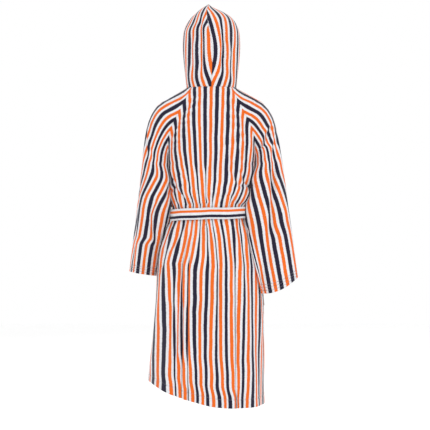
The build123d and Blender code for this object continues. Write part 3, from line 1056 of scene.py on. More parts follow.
def terry(nodes, colour, pile=1.0):
    """The pile of a towelling: loops that stand up, painted shade that darkens the colour between them and
    where the pile lies lower, and a soft bloom on the edges.
    """
    cloth_at = nodes.cloth()
    loops = nodes.add("TexVoronoi", {"Vector": cloth_at, "Scale": LOOPS_PER_METRE, "Randomness": 0.9},
                      voronoi_dimensions="2D", feature="F1")
    tuft = nodes.math("SUBTRACT", 1.0, loops.outputs["Distance"])
    mat = nodes.add("TexNoise", {"Vector": cloth_at, "Scale": 90.0, "Detail": 4.0, "Roughness": 0.65},
                    noise_dimensions="2D")
    worn = nodes.add("TexNoise", {"Vector": cloth_at, "Scale": 9.0, "Detail": 3.0}, noise_dimensions="2D")
    # painted shade: the colour darkens between the loops and where the matted pile lies lower; the slow noise
    # adds random tone
    painted_shade_and_tone = nodes.math("MULTIPLY_ADD", tuft, 0.30, 0.74)
    painted_shade_and_tone = nodes.math("MULTIPLY_ADD", mat.outputs[0], 0.16, nodes.math("SUBTRACT", painted_shade_and_tone, 0.08))
    painted_shade_and_tone = nodes.math("MULTIPLY_ADD", worn.outputs[0], 0.12, nodes.math("SUBTRACT", painted_shade_and_tone, 0.06))
    tone = nodes.add("CombineColor", {0: painted_shade_and_tone, 1: painted_shade_and_tone, 2: painted_shade_and_tone})
    nodes.set(nodes.shader.inputs["Base Color"], nodes.mix(1.0, colour, tone.outputs[0], "MULTIPLY"))
    height = nodes.math("MULTIPLY_ADD", mat.outputs[0], 0.8, tuft)
    bump = nodes.add("Bump", {"Height": height, "Strength": 0.55 * pile, "Distance": 0.0009})
    nodes.set(nodes.shader.inputs["Normal"], bump.outputs[0])
    rough = nodes.math("MULTIPLY_ADD", tuft, -0.08, 0.98)
    nodes.set(nodes.shader.inputs["Roughness"], rough)
    nodes.shader.inputs["Specular IOR Level"].default_value = 0.12
    nodes.shader.inputs["Sheen Weight"].default_value = 0.22
    nodes.shader.inputs["Sheen Roughness"].default_value = 0.45
    nodes.shader.inputs["Sheen Tint"].default_value = (1.0, 0.97, 0.95, 1)


def bands(nodes, share, stops):
    """Colour bands with edges a few loops wide. share runs from 0 to 1."""
    ramp = nodes.add("ValToRGB", {0: share})
    elements = ramp.color_ramp.elements
    soft = 0.012
    marks = []
    for i, (start, colour) in enumerate(stops):
        before = stops[i - 1][1]
        if i:
            marks.append((start - soft, before))
        marks.append((start + (soft if i else 0), colour))
    while len(elements) < len(marks):
        elements.new(0.5)
    for element, (position, colour) in zip(elements, marks):
        element.position = position
        element.color = colour
    return ramp.outputs[0]


def ragged(nodes, across, amount):
    """across, with the small sideways wander that loops give the edge of a stripe."""
    wander = nodes.add("TexNoise", {"Vector": nodes.cloth(), "Scale": 420.0, "Detail": 2.0},
                       noise_dimensions="2D")
    slow = nodes.add("TexNoise", {"Vector": nodes.cloth(), "Scale": 14.0, "Detail": 1.0},
                     noise_dimensions="2D")
    fine = nodes.math("MULTIPLY", nodes.math("SUBTRACT", wander.outputs[0], 0.5), amount)
    bend = nodes.math("MULTIPLY", nodes.math("SUBTRACT", slow.outputs[0], 0.5), amount)
    return nodes.math("ADD", across, nodes.math("ADD", fine, bend))


def striped_towelling():
    """The panels' cloth: stripes that run down it, by the flat position across the panel."""
    nodes = Nodes("striped_towelling_cloth")
    across, _ = nodes.across_and_along()
    turns = nodes.math("MULTIPLY_ADD", ragged(nodes, across, 0.0034), 1 / (STRIPE * MM), STRIPE_PHASE)
    colour = bands(nodes, nodes.math("FRACT", turns), STRIPE_BANDS)
    terry(nodes, colour)
    return nodes.material


BELT_WIDTH = 0.0385
BELT_BANDS = [(0.0, WHITE), (0.15, NAVY), (0.39, WHITE), (0.62, ORANGE), (0.83, WHITE)]


def belt_towelling():
    """The belt's stripes run along it. across is the height over the belt's lower edge."""
    nodes = Nodes("belt_towelling_cloth")
    across, _ = nodes.across_and_along()
    share = nodes.math("MULTIPLY", ragged(nodes, across, 0.0022), 1 / BELT_WIDTH)
    colour = bands(nodes, nodes.math("MINIMUM", nodes.math("MAXIMUM", share, 0.0), 0.999), BELT_BANDS)
    terry(nodes, colour, pile=0.8)
    return nodes.material


def woven(name, colour, per_metre, gloss, diagonal=False):
    """A plain or twill tape: threads one way over threads the other way."""
    nodes = Nodes(name)
    across, along = nodes.across_and_along()
    if diagonal:
        across = nodes.math("ADD", across, along)
    one = nodes.math("SINE", nodes.math("MULTIPLY", across, per_metre * 2 * math.pi))
    two = nodes.math("SINE", nodes.math("MULTIPLY", along, per_metre * 2 * math.pi))
    weave = nodes.math("MULTIPLY", one, two)
    grain = nodes.add("TexNoise", {"Vector": nodes.cloth(), "Scale": 160.0, "Detail": 3.0},
                      noise_dimensions="2D")
    # painted shade: the colour darkens where the weave lies lower; the grain noise adds random tone
    painted_shade_and_tone = nodes.math("MULTIPLY_ADD", weave, 0.05, nodes.math("MULTIPLY_ADD", grain.outputs[0], 0.2, 0.85))
    tone = nodes.add("CombineColor", {0: painted_shade_and_tone, 1: painted_shade_and_tone, 2: painted_shade_and_tone})
    nodes.set(nodes.shader.inputs["Base Color"], nodes.mix(1.0, colour, tone.outputs[0], "MULTIPLY"))
    bump = nodes.add("Bump", {"Height": weave, "Strength": 0.5, "Distance": 0.0002})
    nodes.set(nodes.shader.inputs["Normal"], bump.outputs[0])
    nodes.set(nodes.shader.inputs["Roughness"], nodes.math("MULTIPLY_ADD", grain.outputs[0], 0.2, gloss))
    nodes.shader.inputs["Specular IOR Level"].default_value = 0.3
    nodes.shader.inputs["Sheen Weight"].default_value = 0.1
    return nodes.material


materials = {
    "striped_towelling": striped_towelling(),
    "belt_towelling": belt_towelling(),
    "white_tape": woven("white_tape_cloth", (0.80, 0.79, 0.77, 1), 900, 0.62, diagonal=True),
    "seam_binding": woven("seam_binding_cloth", (0.76, 0.76, 0.78, 1), 700, 0.7),
    "blank_label": woven("blank_label_satin", (0.82, 0.81, 0.78, 1), 1400, 0.38),
    "belt_loop_tape": woven("belt_loop_cloth", (0.025, 0.022, 0.045, 1), 800, 0.7),
    # the thread's grey is painted shade for the grooves that it lies in
    "thread": woven("sewing_thread_painted_shade", THREAD_SHADE_GREY, 2500, 0.5),
}


# ---------------------------------------------------------------- pieces

def add_piece(name, points, faces, cloth_at, material):
    """A smooth mesh object from points in millimetres, with its cloth coordinates as a UV map in metres."""
    mesh = bpy.data.meshes.new(name)
    mesh.from_pydata((np.asarray(points, float) * MM).tolist(), [], faces)
    layer = mesh.uv_layers.new(name="cloth")
    corner = np.zeros(len(mesh.loops), int)
    mesh.loops.foreach_get("vertex_index", corner)
    layer.data.foreach_set("uv", (np.asarray(cloth_at, float)[corner] * MM).ravel())
    mesh.materials.append(materials[material])
    mesh.polygons.foreach_set("use_smooth", np.ones(len(mesh.polygons), bool))
    made = bpy.data.objects.new(name, mesh)
    bpy.context.scene.collection.objects.link(made)
    return made


def shell_mesh(outer, inner, around=False):
    """Points and faces of a closed shell between two grids of points.

    around joins the last column to the first."""
    rows, columns = outer.shape[:2]
    points = np.concatenate([outer.reshape(-1, 3), inner.reshape(-1, 3)])
    half = rows * columns
    last = columns if around else columns - 1
    faces = []
    for i in range(rows - 1):
        for j in range(last):
            a, b = i * columns + j, i * columns + (j + 1) % columns
            c, d = b + columns, a + columns
            faces.append((a, b, c, d))
            faces.append((half + d, half + c, half + b, half + a))
    for j in range(last):
        a, b = j, (j + 1) % columns
        faces.append((b, a, half + a, half + b))
        a, b = (rows - 1) * columns + j, (rows - 1) * columns + (j + 1) % columns
        faces.append((a, b, half + b, half + a))
    if not around:
        for i in range(rows - 1):
            a, b = i * columns, (i + 1) * columns
            faces.append((a, b, half + b, half + a))
            a, b = a + columns - 1, b + columns - 1
            faces.append((b, a, half + a, half + b))
    return points, faces


def outward(points, faces):
    """The faces turned so that their normals point out of the solid."""
    p = np.asarray(points, float)
    total = 0.0
    for face in faces:
        a = p[face[0]]
        for i in range(1, len(face) - 1):
            total += np.dot(a, np.cross(p[face[i]], p[face[i + 1]]))
    return faces if total > 0 else [face[::-1] for face in faces]


def both_sides(cloth_at):
    """The cloth coordinates of a shell's outer points, followed by those of its inner points."""
    return np.concatenate([cloth_at.reshape(-1, 2)] * 2)


HALF_CLOTH = 2.0  # half the thickness of the towelling


def edge_steps(count):
    """Fractional grid positions over a whole panel, closer together at both of its ends."""
    steps = np.concatenate([np.arange(0, count + 0.5, 1.0), [0.2, 0.5], count - np.array([0.2, 0.5])])
    return np.unique(np.round(np.clip(steps, 0, count), 4))


def from_ends(at, count, cell):
    """How far, in millimetres, each grid position is from the nearer end."""
    return np.minimum(at, count - at) * cell


def rounded(distance, radius):
    """0 at an edge, rising round a quarter circle to 1 at radius from it."""
    t = np.clip(distance / radius, 0, 1)
    return np.sqrt(1 - (1 - t) ** 2)


def sewn(name, panel, rows, columns, low, high, material="striped_towelling", edges=None, groove=None,
         bulge=None, round_to=2.4, seam_depth=0.75, pucker=0.35, seed=0):
    """A closed piece of cloth on a panel, between two distances from its middle surface.

    edges gives the distance in millimetres from each row and column to the piece's own edges. groove adds a
    shape to the outer distance, and bulge to both."""
    at, normal, cloth_at = panel.read(rows, columns)
    row_far, column_far = edges
    far = np.minimum(row_far[:, None], column_far[None, :])
    middle, half = (low + high) / 2, (high - low) / 2
    profile = (1 - seam_depth) + seam_depth * rounded(far, round_to)
    if pucker:
        rng = np.random.default_rng(seed + 11)
        noise = rng.standard_normal(far.shape)
        noise[1:-1] = (noise[:-2] + 2 * noise[1:-1] + noise[2:]) / 3
        profile = profile * (1 + pucker * 0.35 * noise * np.exp(-((far - 4.0) / 4.0) ** 2))
    outer_at = middle + half * profile
    inner_at = middle - half * profile
    if groove is not None:
        outer_at = outer_at - groove
    if bulge is not None:
        outer_at, inner_at = outer_at + bulge, inner_at + bulge
    outer = at + normal * outer_at[..., None]
    inner = at + normal * inner_at[..., None]
    points, faces = shell_mesh(outer, inner)
    return add_piece(name, points, outward(points, faces), both_sides(cloth_at), material)


def inlay(name, panel, rows, columns, low, high, material="striped_towelling", round_to=1.6, **more):
    """A smaller piece on a panel, with rounded edges all round, such as a tape or a turned-in hem."""
    at, _, _ = panel.read(rows, columns)
    down = run_along(at[:, len(columns) // 2])
    over = run_along(at[len(rows) // 2])
    edges = (np.minimum(down, down[-1] - down), np.minimum(over, over[-1] - over))
    return sewn(name, panel, rows, columns, low, high, material, edges, round_to=round_to, seam_depth=0.95,
                pucker=0, **more)


def between_steps(first, last, step=1.0, soft=0.24):
    """Fractional grid positions from first to last, with one more close to each end."""
    if last - first < 2 * soft:
        return np.linspace(first, last, 4)
    inner = np.arange(math.ceil((first + soft) / step) * step, last - soft + 1e-6, step)
    inner = inner[(inner > first + soft) & (inner < last - soft)]
    ends = [first, first + soft * 0.5, first + soft, last - soft, last - soft * 0.5, last]
    return np.unique(np.round(np.concatenate([ends, inner]), 4))


STITCH_LENGTH, STITCH_STEP, THREAD_RADIUS = 3.0, 4.2, 0.42
NEAR_STITCH = (-3.0, -1.5, 0.0, 1.5, 3.0)  # where the grid is finer, in millimetres from a row of stitches
IN_CLOTH = 0.9  # how deep below the outer face the rows of stitches of the panels run


def stitch_line(panel, rows, columns, height):
    """The middle line and normals of a row of stitches, one for each pair of a fractional row and column."""
    line, normal = [], []
    for r, c in zip(rows, columns):
        at, n, _ = panel.read(np.array([r]), np.array([c]))
        line.append(at[0, 0] + n[0, 0] * height)
        normal.append(n[0, 0])
    return np.array(line), np.array(normal)


def stitches(name, lines, material="thread"):
    """One piece holding rows of short threads that dip into the cloth at both ends."""
    points, faces = [], []
    for line, normal in lines:
        run = run_along(line)
        for start in np.arange(1.0, run[-1] - STITCH_LENGTH, STITCH_STEP):
            at = start + STITCH_LENGTH * np.array([0, 0.2, 0.5, 0.8, 1.0])
            p = np.column_stack([np.interp(at, run, line[:, k]) for k in range(3)])
            up = np.column_stack([np.interp(at, run, normal[:, k]) for k in range(3)])
            p = p + up * np.array([-0.7, -0.1, 0.15, -0.1, -0.7])[:, None]
            along = (p[-1] - p[0]) / max(np.linalg.norm(p[-1] - p[0]), 1e-6)
            first = len(points)
            for k in range(5):
                side = np.cross(along, up[k])
                side /= max(np.linalg.norm(side), 1e-6)
                radius = THREAD_RADIUS * (0.55, 0.95, 1.0, 0.95, 0.55)[k]
                for corner in range(6):
                    turn = corner * math.pi / 3
                    points.append(p[k] + radius * (math.cos(turn) * side + math.sin(turn) * up[k]))
            for k in range(4):
                for corner in range(6):
                    a, b = first + k * 6 + corner, first + k * 6 + (corner + 1) % 6
                    faces.append((a, b, b + 6, a + 6))
            faces.append(tuple(first + corner for corner in range(6))[::-1])
            faces.append(tuple(first + 24 + corner for corner in range(6)))
    points = np.array(points)
    return add_piece(name, points, faces, points[:, [0, 2]], material)


def flat_size(panel, rows, columns):
    """The size that a piece of a panel was cut to, and its area, in metres and square metres."""
    _, _, cloth_at = panel.read(rows, columns)
    wide = np.abs(np.diff(cloth_at[..., 0], axis=1)).sum(axis=1)
    down = np.abs(np.diff(cloth_at[:, :, 1], axis=0)).sum(axis=0).mean()
    steps = np.abs(np.diff(cloth_at[:, 0, 1]))
    area = (steps * (wide[:-1] + wide[1:]) / 2).sum()
    width = wide.max()
    return (round(float(width * MM), 3), round(float(down * MM), 3)), round(float(area * MM * MM), 4)


# ---------------------------------------------------------------- the panels as pieces

CELL_ACROSS, CELL_DOWN = 4.6, 5.1  # the grids' spacing, in millimetres
HEM, HEM_STITCH, HEM_DENT = 32.0, 28.0, 1.1
CUFF, CUFF_STITCHES, CUFF_DENT = 30.0, (9.0, 18.0, 27.0), 1.7
STITCH_DENT = 1.8  # how wide a row of stitches dents the cloth
INSIDE = (-6.2, -2.2)  # where a fold of towelling lies, from the panel's middle surface
TAPE_INSIDE = (-3.6, -2.2)  # where a thin tape lies


def down_to_end(panel, row_values):
    """How far each fractional row is from the panel's last row, in millimetres of cloth."""
    run = np.abs(panel.cloth_at[:, panel.columns // 2, 1])
    return np.abs(run[-1] - catmull(run[:, None], row_values)[:, 0])


def stitched_rows(panel, distances):
    """Fractional rows that lie at these distances from the panel's last row."""
    fine = np.linspace(0, panel.rows, 2000)
    far = down_to_end(panel, fine)
    return [float(np.interp(-d, -far, fine)) for d in distances]


def stitch_dent(far):
    """The shape of the dent that a row of stitches presses into the cloth, from distances to the row."""
    return np.exp(-((far / STITCH_DENT) ** 2))


def panel_grid(panel, stitched, depth):
    """Rows, columns, distances to the edges, and dents of a panel with rows of stitches near its last row."""
    near = [r + d / CELL_DOWN for r in stitched for d in NEAR_STITCH]
    rows = np.unique(np.round(np.concatenate([edge_steps(panel.rows), near]), 4))
    rows = rows[rows <= panel.rows]
    columns = edge_steps(panel.columns)
    edges = (from_ends(rows, panel.rows, CELL_DOWN), from_ends(columns, panel.columns, CELL_ACROSS))
    groove = np.zeros((len(rows), len(columns)))
    for r in stitched:
        groove += (depth * stitch_dent((rows - r) * CELL_DOWN))[:, None]
    return rows, columns, edges, groove


def rows_of_stitches(name, panel, stitched):
    """Rows of stitches across a panel, as one piece."""
    spots = np.linspace(0.2, panel.columns - 0.2, panel.columns)
    lines = [stitch_line(panel, np.full(len(spots), r), spots, HALF_CLOTH - IN_CLOTH) for r in stitched]
    return stitches(name, lines)


def body_panel(name):
    """A body panel with its turned-in hem."""
    panel = panels[name]
    hem_rows = stitched_rows(panel, [HEM_STITCH])
    rows, columns, edges, groove = panel_grid(panel, hem_rows, HEM_DENT)
    made = sewn(name + "_panel_cloth", panel, rows, columns, -HALF_CLOTH, HALF_CLOTH, edges=edges,
                groove=groove)
    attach(made, "robe")
    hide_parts(name + "_panel")
    flat, area = flat_size(panel, rows, columns)
    inside = inlay(name + "_hem_fold_cloth", panel,
                   between_steps(stitched_rows(panel, [HEM])[0], panel.rows - 0.12),
                   between_steps(0.3, panel.columns - 0.3), *INSIDE)
    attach(inside, "robe")
    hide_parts(name + "_hem_fold")
    thread = rows_of_stitches(name + "_hem_stitches", panel, hem_rows)
    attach(thread, "robe")


for name in BODY_PANELS:
    body_panel(name)


def sleeve_pieces(word):
    """A sleeve with its turned-in cuff and three rows of stitches."""
    panel = panels[word + "_sleeve"]
    cuff_rows = stitched_rows(panel, CUFF_STITCHES)
    rows, columns, edges, groove = panel_grid(panel, cuff_rows, CUFF_DENT)
    made = sewn(word + "_sleeve_cloth", panel, rows, columns, -HALF_CLOTH, HALF_CLOTH, edges=edges,
                groove=groove, seed=3)
    flat, area = flat_size(panel, rows, columns)
    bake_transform(made)
    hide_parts(word + "_sleeve_shoulder", word + "_sleeve_arm")
    fold = inlay(word + "_cuff_fold_cloth", panel,
                 between_steps(stitched_rows(panel, [CUFF])[0], panel.rows - 0.12),
                 between_steps(0.1, panel.columns - 0.1), *INSIDE)
    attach(fold, word + "_sleeve")
    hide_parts(word + "_cuff_fold")
    thread = rows_of_stitches(word + "_cuff_stitches", panel, cuff_rows)
    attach(thread, word + "_sleeve")


for word in ("left", "right"):
    sleeve_pieces(word)

HOOD_FOLD, HOOD_STITCH = 26.0, 22.0


def hood_pieces():
    """The two halves of the hood, the fold round its face opening and the tape over its centre seam."""
    face_lines = []
    for word in ("left", "right"):
        panel = panels[word + "_hood"]
        cell = float(np.linalg.norm(np.diff(panel.at[20], axis=0), axis=1).mean())
        rows = edge_steps(panel.rows)
        near = [(HOOD_STITCH + d) / cell for d in NEAR_STITCH]
        columns = np.unique(np.round(np.concatenate([edge_steps(panel.columns), near]), 4))
        edges = (from_ends(rows, panel.rows, CELL_DOWN), from_ends(columns, panel.columns, cell))
        made = sewn(word + "_hood_cloth", panel, rows, columns, -HALF_CLOTH, HALF_CLOTH, edges=edges,
                    groove=stitch_dent(columns * cell - HOOD_STITCH)[None, :], seed=5)
        flat, area = flat_size(panel, rows, columns)
        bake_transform(made)
        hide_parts(word + "_hood", word + "_hood_base")
        spots = np.linspace(0.4, panel.rows - 0.6, panel.rows)
        column = np.full(len(spots), HOOD_STITCH / cell)
        face_lines.append(stitch_line(panel, spots, column, HALF_CLOTH - IN_CLOTH))
    thread = stitches("hood_edge_stitches", face_lines)
    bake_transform(thread)
    # the turned-in edge round the face goes over the top in one piece
    left, right = panels["left_hood"], panels["right_hood"]
    take = slice(0, 14)
    loop = Panel(*(np.concatenate([getattr(left, key)[:, take], getattr(right, key)[::-1, take]])
                   for key in ("at", "normal", "cloth_at")))
    fold = inlay("hood_edge_fold_cloth", loop, between_steps(0.3, loop.rows - 0.3),
                 between_steps(0.1, HOOD_FOLD / cell), *INSIDE)
    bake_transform(fold)
    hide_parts("hood_edge_fold", "hood_edge_fold_base")
    middle = left.beside(right, slice(-5, None), slice(-2, -6, -1))
    tape = inlay("hood_centre_seam_tape", middle, between_steps(0.4, middle.rows - 0.2),
                 between_steps(2, 6, step=0.5), *TAPE_INSIDE, material="seam_binding", round_to=0.6)
    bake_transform(tape)
    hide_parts("hood_centre_seam", "hood_centre_seam_base")


hood_pieces()


# ---------------------------------------------------------------- trims inside the robe

FACING = 50.0


def row_at(z):
    """The fractional body row that starts at a height."""
    return float(np.interp(-z, -heights, np.arange(len(heights)) * FINE))


def column_at(panel, row, across):
    """The fractional column of a cloth coordinate, on a whole row."""
    s = panel.cloth_at[row, :, 0]
    order = np.argsort(s)
    return float(np.interp(across, s[order], np.arange(len(s))[order]))


def side_seams():
    """Tapes over the side seams, inside."""
    first = FINE * ROWS_RAGLAN + 1.2
    for word, inner in (("left", slice(-5, None)), ("right", slice(4, None, -1))):
        front = panels[word + "_front"]
        both = panels["back"].beside(front, inner, slice(1, 5))
        tape = inlay(word + "_side_seam_tape", both, between_steps(first, both.rows - 1.2),
                     np.linspace(2.6, 5.4, 7), *TAPE_INSIDE, material="seam_binding", round_to=0.6)
        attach(tape, "robe")
        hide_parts(word + "_side_seam")


def facings():
    """The turned-in band down each front edge, and the stitches that hold it."""
    for word in ("left", "right"):
        panel = panels[word + "_front"]
        columns = between_steps(panel.columns - FACING / CELL_ACROSS, panel.columns - 0.16)
        rows = between_steps(0.24, stitched_rows(panel, [HEM + 1.0])[0])
        made = inlay(word + "_front_facing_cloth", panel, rows, columns, *INSIDE)
        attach(made, "robe")
        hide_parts(word + "_front_facing")
        spots = np.linspace(0.8, panel.rows - 7, panel.rows)
        column = np.full(len(spots), panel.columns - (FACING - 4) / CELL_ACROSS)
        line = stitch_line(panel, spots, column, HALF_CLOTH - 0.25)
        thread = stitches(word + "_front_edge_stitches", [line])
        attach(thread, "robe")


side_seams()
facings()


def strap(name, line, wide, normal, width, thickness, material, steps=13, closed=False, squeeze=None):
    """A flat band swept along a line. wide points across the band and normal out of its face.

    width and squeeze may change along the line. squeeze gathers the band into lengthwise pleats."""
    line, wide, normal = (np.asarray(v, float) for v in (line, wide, normal))
    count = len(line)
    width = np.broadcast_to(np.asarray(width, float), (count,))
    f = np.linspace(-1, 1, steps)
    f = np.sign(f) * np.abs(f) ** 0.85
    profile = rounded((1 - np.abs(f)) * width.mean() / 2, thickness * 0.55)
    half = thickness / 2 * (0.25 + 0.75 * profile)
    pleat = np.zeros((count, steps))
    if squeeze is not None:
        pleat = np.outer(squeeze, np.cos(f * math.pi * 3.5))
    spread = line[:, None] + wide[:, None] * (f[None, :, None] * width[:, None, None] / 2)
    outer = spread + normal[:, None] * (half[None, :] + pleat)[..., None]
    inner = spread + normal[:, None] * (-half[None, :] + pleat)[..., None]
    if closed:
        outer, inner = np.concatenate([outer, outer[:1]]), np.concatenate([inner, inner[:1]])
        line = np.concatenate([line, line[:1]])
    run = run_along(line)
    cloth_at = np.dstack(np.broadcast_arrays((f[None, :] + 1) / 2 * BELT_WIDTH / MM, run[:, None]))
    if closed:
        outer, inner, cloth_at = outer[:-1], inner[:-1], cloth_at[:-1]
        points, faces = shell_mesh(outer.swapaxes(0, 1), inner.swapaxes(0, 1), around=True)
        cloth_at = cloth_at.swapaxes(0, 1)
    else:
        points, faces = shell_mesh(outer, inner)
    made = add_piece(name, points, outward(points, faces), both_sides(cloth_at), material)
    return made, outer, inner


def frame_along(line, out):
    """Unit vectors across and out of a band on a line, from rough outward directions."""
    along = np.gradient(line, axis=0)
    along /= np.linalg.norm(along, axis=1, keepdims=True)
    out = out - along * (out * along).sum(1, keepdims=True)
    out /= np.linalg.norm(out, axis=1, keepdims=True)
    return np.cross(out, along), out


# ---------------------------------------------------------------- the belt

BELT_Z, BELT_TILT, BELT_THICK = -425.0, 0.033, 4.6
BAND_STEPS = 17  # points across the belt
KNOT = np.array([6.0, -129.0, -425.0])


def smoothed(values, rounds):
    """Values round a ring, averaged with their neighbours."""
    for _ in range(rounds):
        values = (np.roll(values, 1) + 2 * values + np.roll(values, -1)) / 4
    return values


def robe_radius(angles, low, high):
    """How far out the body's panels reach between two heights, at each angle round the body."""
    found = np.zeros(len(angles))
    for name in BODY_PANELS:
        panel = panels[name]
        at, _, _ = panel.read(np.arange(row_at(high), row_at(low) + 0.2, 1.0), np.arange(panel.columns + 1.0))
        at = at.reshape(-1, 3)
        x, y = at[:, 0] - body_at(BELT_Z)[0, 0], at[:, 1] - body_at(BELT_Z)[1, 0]
        turn, radius = np.arctan2(x, y), np.hypot(x, y)
        cells = np.round((turn - angles[0]) / (angles[1] - angles[0])).astype(int) % len(angles)
        np.maximum.at(found, cells, radius)
    for _ in range(4):
        found = np.where(found > 0, found, np.maximum(np.roll(found, 1), np.roll(found, -1)))
    return found


belt_angles = np.linspace(-math.pi, math.pi, 289)[:-1]
robe_at_belt = robe_radius(belt_angles, BELT_Z - 26, BELT_Z + 26)
# the belt is taut, so it spans the hollows between the gathers
taut = robe_at_belt.copy()
for _ in range(3):
    widest = np.maximum(np.maximum(np.roll(taut, 2), np.roll(taut, -2)), taut)
    taut = np.maximum(taut, smoothed(widest, 3) * 0.998)
taut = smoothed(taut, 6)
taut = np.maximum(taut, robe_at_belt - 0.3)


def belt_radius(angle):
    """How far out the cloth under the belt stands, at an angle round the body."""
    return np.interp(angle, np.append(belt_angles, math.pi), np.append(taut, taut[0]))


def on_belt(angle, out, up):
    """A point out from the belt's inner face and up from its middle, at an angle round the body."""
    angle = np.atleast_1d(np.asarray(angle, float))
    middle_x, middle_y = body_at(BELT_Z)[:2, 0]
    radius = belt_radius(angle) + HALF_CLOTH + 0.8 + out
    x, y = middle_x + radius * np.sin(angle), middle_y + radius * np.cos(angle)
    return np.column_stack([x, y, BELT_Z - BELT_TILT * x + up])


def edge_lines(outer, normal):
    """The rows of stitches along a band's two long edges."""
    return [(outer[:, j] * 0.5 + outer[:, k] * 0.5 - normal * 0.1, normal) for j, k in ((1, 2), (-2, -3))]


def waistband():
    """The belt's run round the waist, from one side of the knot to the other."""
    start = math.atan2(KNOT[0], KNOT[1] - body_at(BELT_Z)[1, 0])
    angle = np.linspace(start + 0.045, start + 2 * math.pi - 0.045, 300)
    angle = (angle + math.pi) % (2 * math.pi) - math.pi
    sag = 0.9 * np.sin(angle * 3 + 0.6) + 0.5 * np.sin(angle * 7 + 2.0)
    line = on_belt(angle, BELT_THICK / 2, 0) + np.column_stack([0 * sag, 0 * sag, sag])
    out = on_belt(angle, 10, 0) - on_belt(angle, 0, 0)
    wide, normal = frame_along(line, out)
    if wide[0, 2] < 0:
        wide = -wide
    near = np.minimum(np.arange(300), np.arange(300)[::-1]) / 300.0
    gather = 1 - ease(near / 0.035)
    width = BELT_WIDTH / MM * (1 - 0.28 * gather)
    made, outer, _ = strap("belt_waistband_cloth", line, wide, normal, width, BELT_THICK, "belt_towelling",
                           steps=BAND_STEPS, squeeze=1.1 * gather)
    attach(made, "robe")
    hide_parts("belt_waistband")
    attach(stitches("belt_waistband_stitches", edge_lines(outer, normal)), "robe")


waistband()


def belt_coil(name, tilt, radii, count, width, thickness, squeeze):
    """A band wound once round an axis that is tilted in the plane of the front."""
    turn = np.linspace(0, 2 * math.pi, count + 1)[:-1]
    axis = np.array([math.cos(tilt), 0, math.sin(tilt)])
    up = np.array([-math.sin(tilt), 0, math.cos(tilt)])
    out = np.array([0, -1.0, 0])
    line = KNOT + out + np.outer(np.cos(turn) * radii[0], up) + np.outer(np.sin(turn) * radii[1], out)
    normal = np.outer(np.cos(turn) / radii[0], up) + np.outer(np.sin(turn) / radii[1], out)
    normal /= np.linalg.norm(normal, axis=1, keepdims=True)
    made, _, _ = strap(name, line, np.tile(axis, (count, 1)), normal, width(turn), thickness,
                       "belt_towelling", steps=BAND_STEPS, closed=True, squeeze=squeeze(turn))
    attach(made, "robe")
    return made


def belt_knot():
    """A half knot: the belt's end goes round the waistband's end and comes out below it."""
    wrap = belt_coil("belt_knot_wrap", 0.55, (19.5, 10.5), 60, lambda turn: 31 + 5 * np.sin(turn) ** 2, 4.6,
                     lambda turn: 1.4 + 0.5 * np.sin(3 * turn))
    core = belt_coil("belt_knot_core", -0.75, (13.5, 6.0), 48, lambda turn: 46 + 0 * turn, 4.0,
                     lambda turn: 1.0 + 0 * turn)
    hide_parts("belt_knot")
    return wrap, core


knot = belt_knot()


front_tree = tree_of(*(p.at + p.normal * HALF_CLOTH for p in (panels["left_front"], panels["right_front"])))
TAIL_TOP, TAIL_LENGTH, TAIL_GAP = -446.0, 430.0, 4.5


def front_of(x, z):
    """The robe's frontmost y round a place on its front."""
    best = 0.0
    for shift in (-24, -12, 0, 12, 24):
        hit = front_tree.ray_cast(Vector((x + shift, -FAR, z)), Vector((0, 1, 0)))
        if hit[0] is not None:
            best = min(best, hit[0][1])
    return best


def belt_tail(word, x_top, x_low):
    """A hanging end of the belt, just in front of the skirt, with stitches along its edges and its end."""
    z = np.linspace(TAIL_TOP, TAIL_TOP - TAIL_LENGTH, 80)
    share = np.linspace(0, 1, 80)
    x = x_top + (x_low - x_top) * ease(share) + 3.0 * np.sin(share * 5.0 + x_top)
    cover = np.array([front_of(a, b) for a, b in zip(x, z)])
    cad_y = -135.0 - math.tan(math.radians(4.6)) * (TAIL_TOP - z)
    y = np.minimum(cad_y, cover - TAIL_GAP)
    for _ in range(12):
        y[1:-1] = np.minimum((y[:-2] + 2 * y[1:-1] + y[2:]) / 4, cover[1:-1] - TAIL_GAP)
    line = np.column_stack([x, y, z])
    twist = 0.10 * np.sin(share * 6.0 + x_top * 0.3) * ease(share * 3)
    out = np.column_stack([np.sin(twist), -np.cos(twist), 0 * twist])
    wide, normal = frame_along(line, out)
    gather = 1 - ease(share / 0.13)
    width = 41 * (1 - 0.42 * gather) + 0.5 * np.sin(share * 21)
    squeeze = 1.5 * gather + 0.25 * np.sin(share * 15 + x_top) * (1 - gather)
    made, outer, _ = strap(f"belt_end_{word}_cloth", line, wide, normal, width, 5.0, "belt_towelling",
                           steps=BAND_STEPS, squeeze=squeeze)
    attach(made, f"belt_end_{word}")
    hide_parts(f"belt_end_{word}")
    # the stitches start below the knot
    lines = [(line[8:], normal[8:]) for line, _ in edge_lines(outer, normal)]
    ends = np.linspace(0.06, 0.94, 16)
    across = np.array([outer[-3, 0] * (1 - t) + outer[-3, -1] * t for t in ends])
    lines.append((across + normal[-3] * 0.9, np.tile(normal[-3], (16, 1))))
    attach(stitches(f"belt_end_{word}_stitches", lines), f"belt_end_{word}")


belt_tail("left", 20.0, 36.0)
belt_tail("right", -8.0, -26.0)


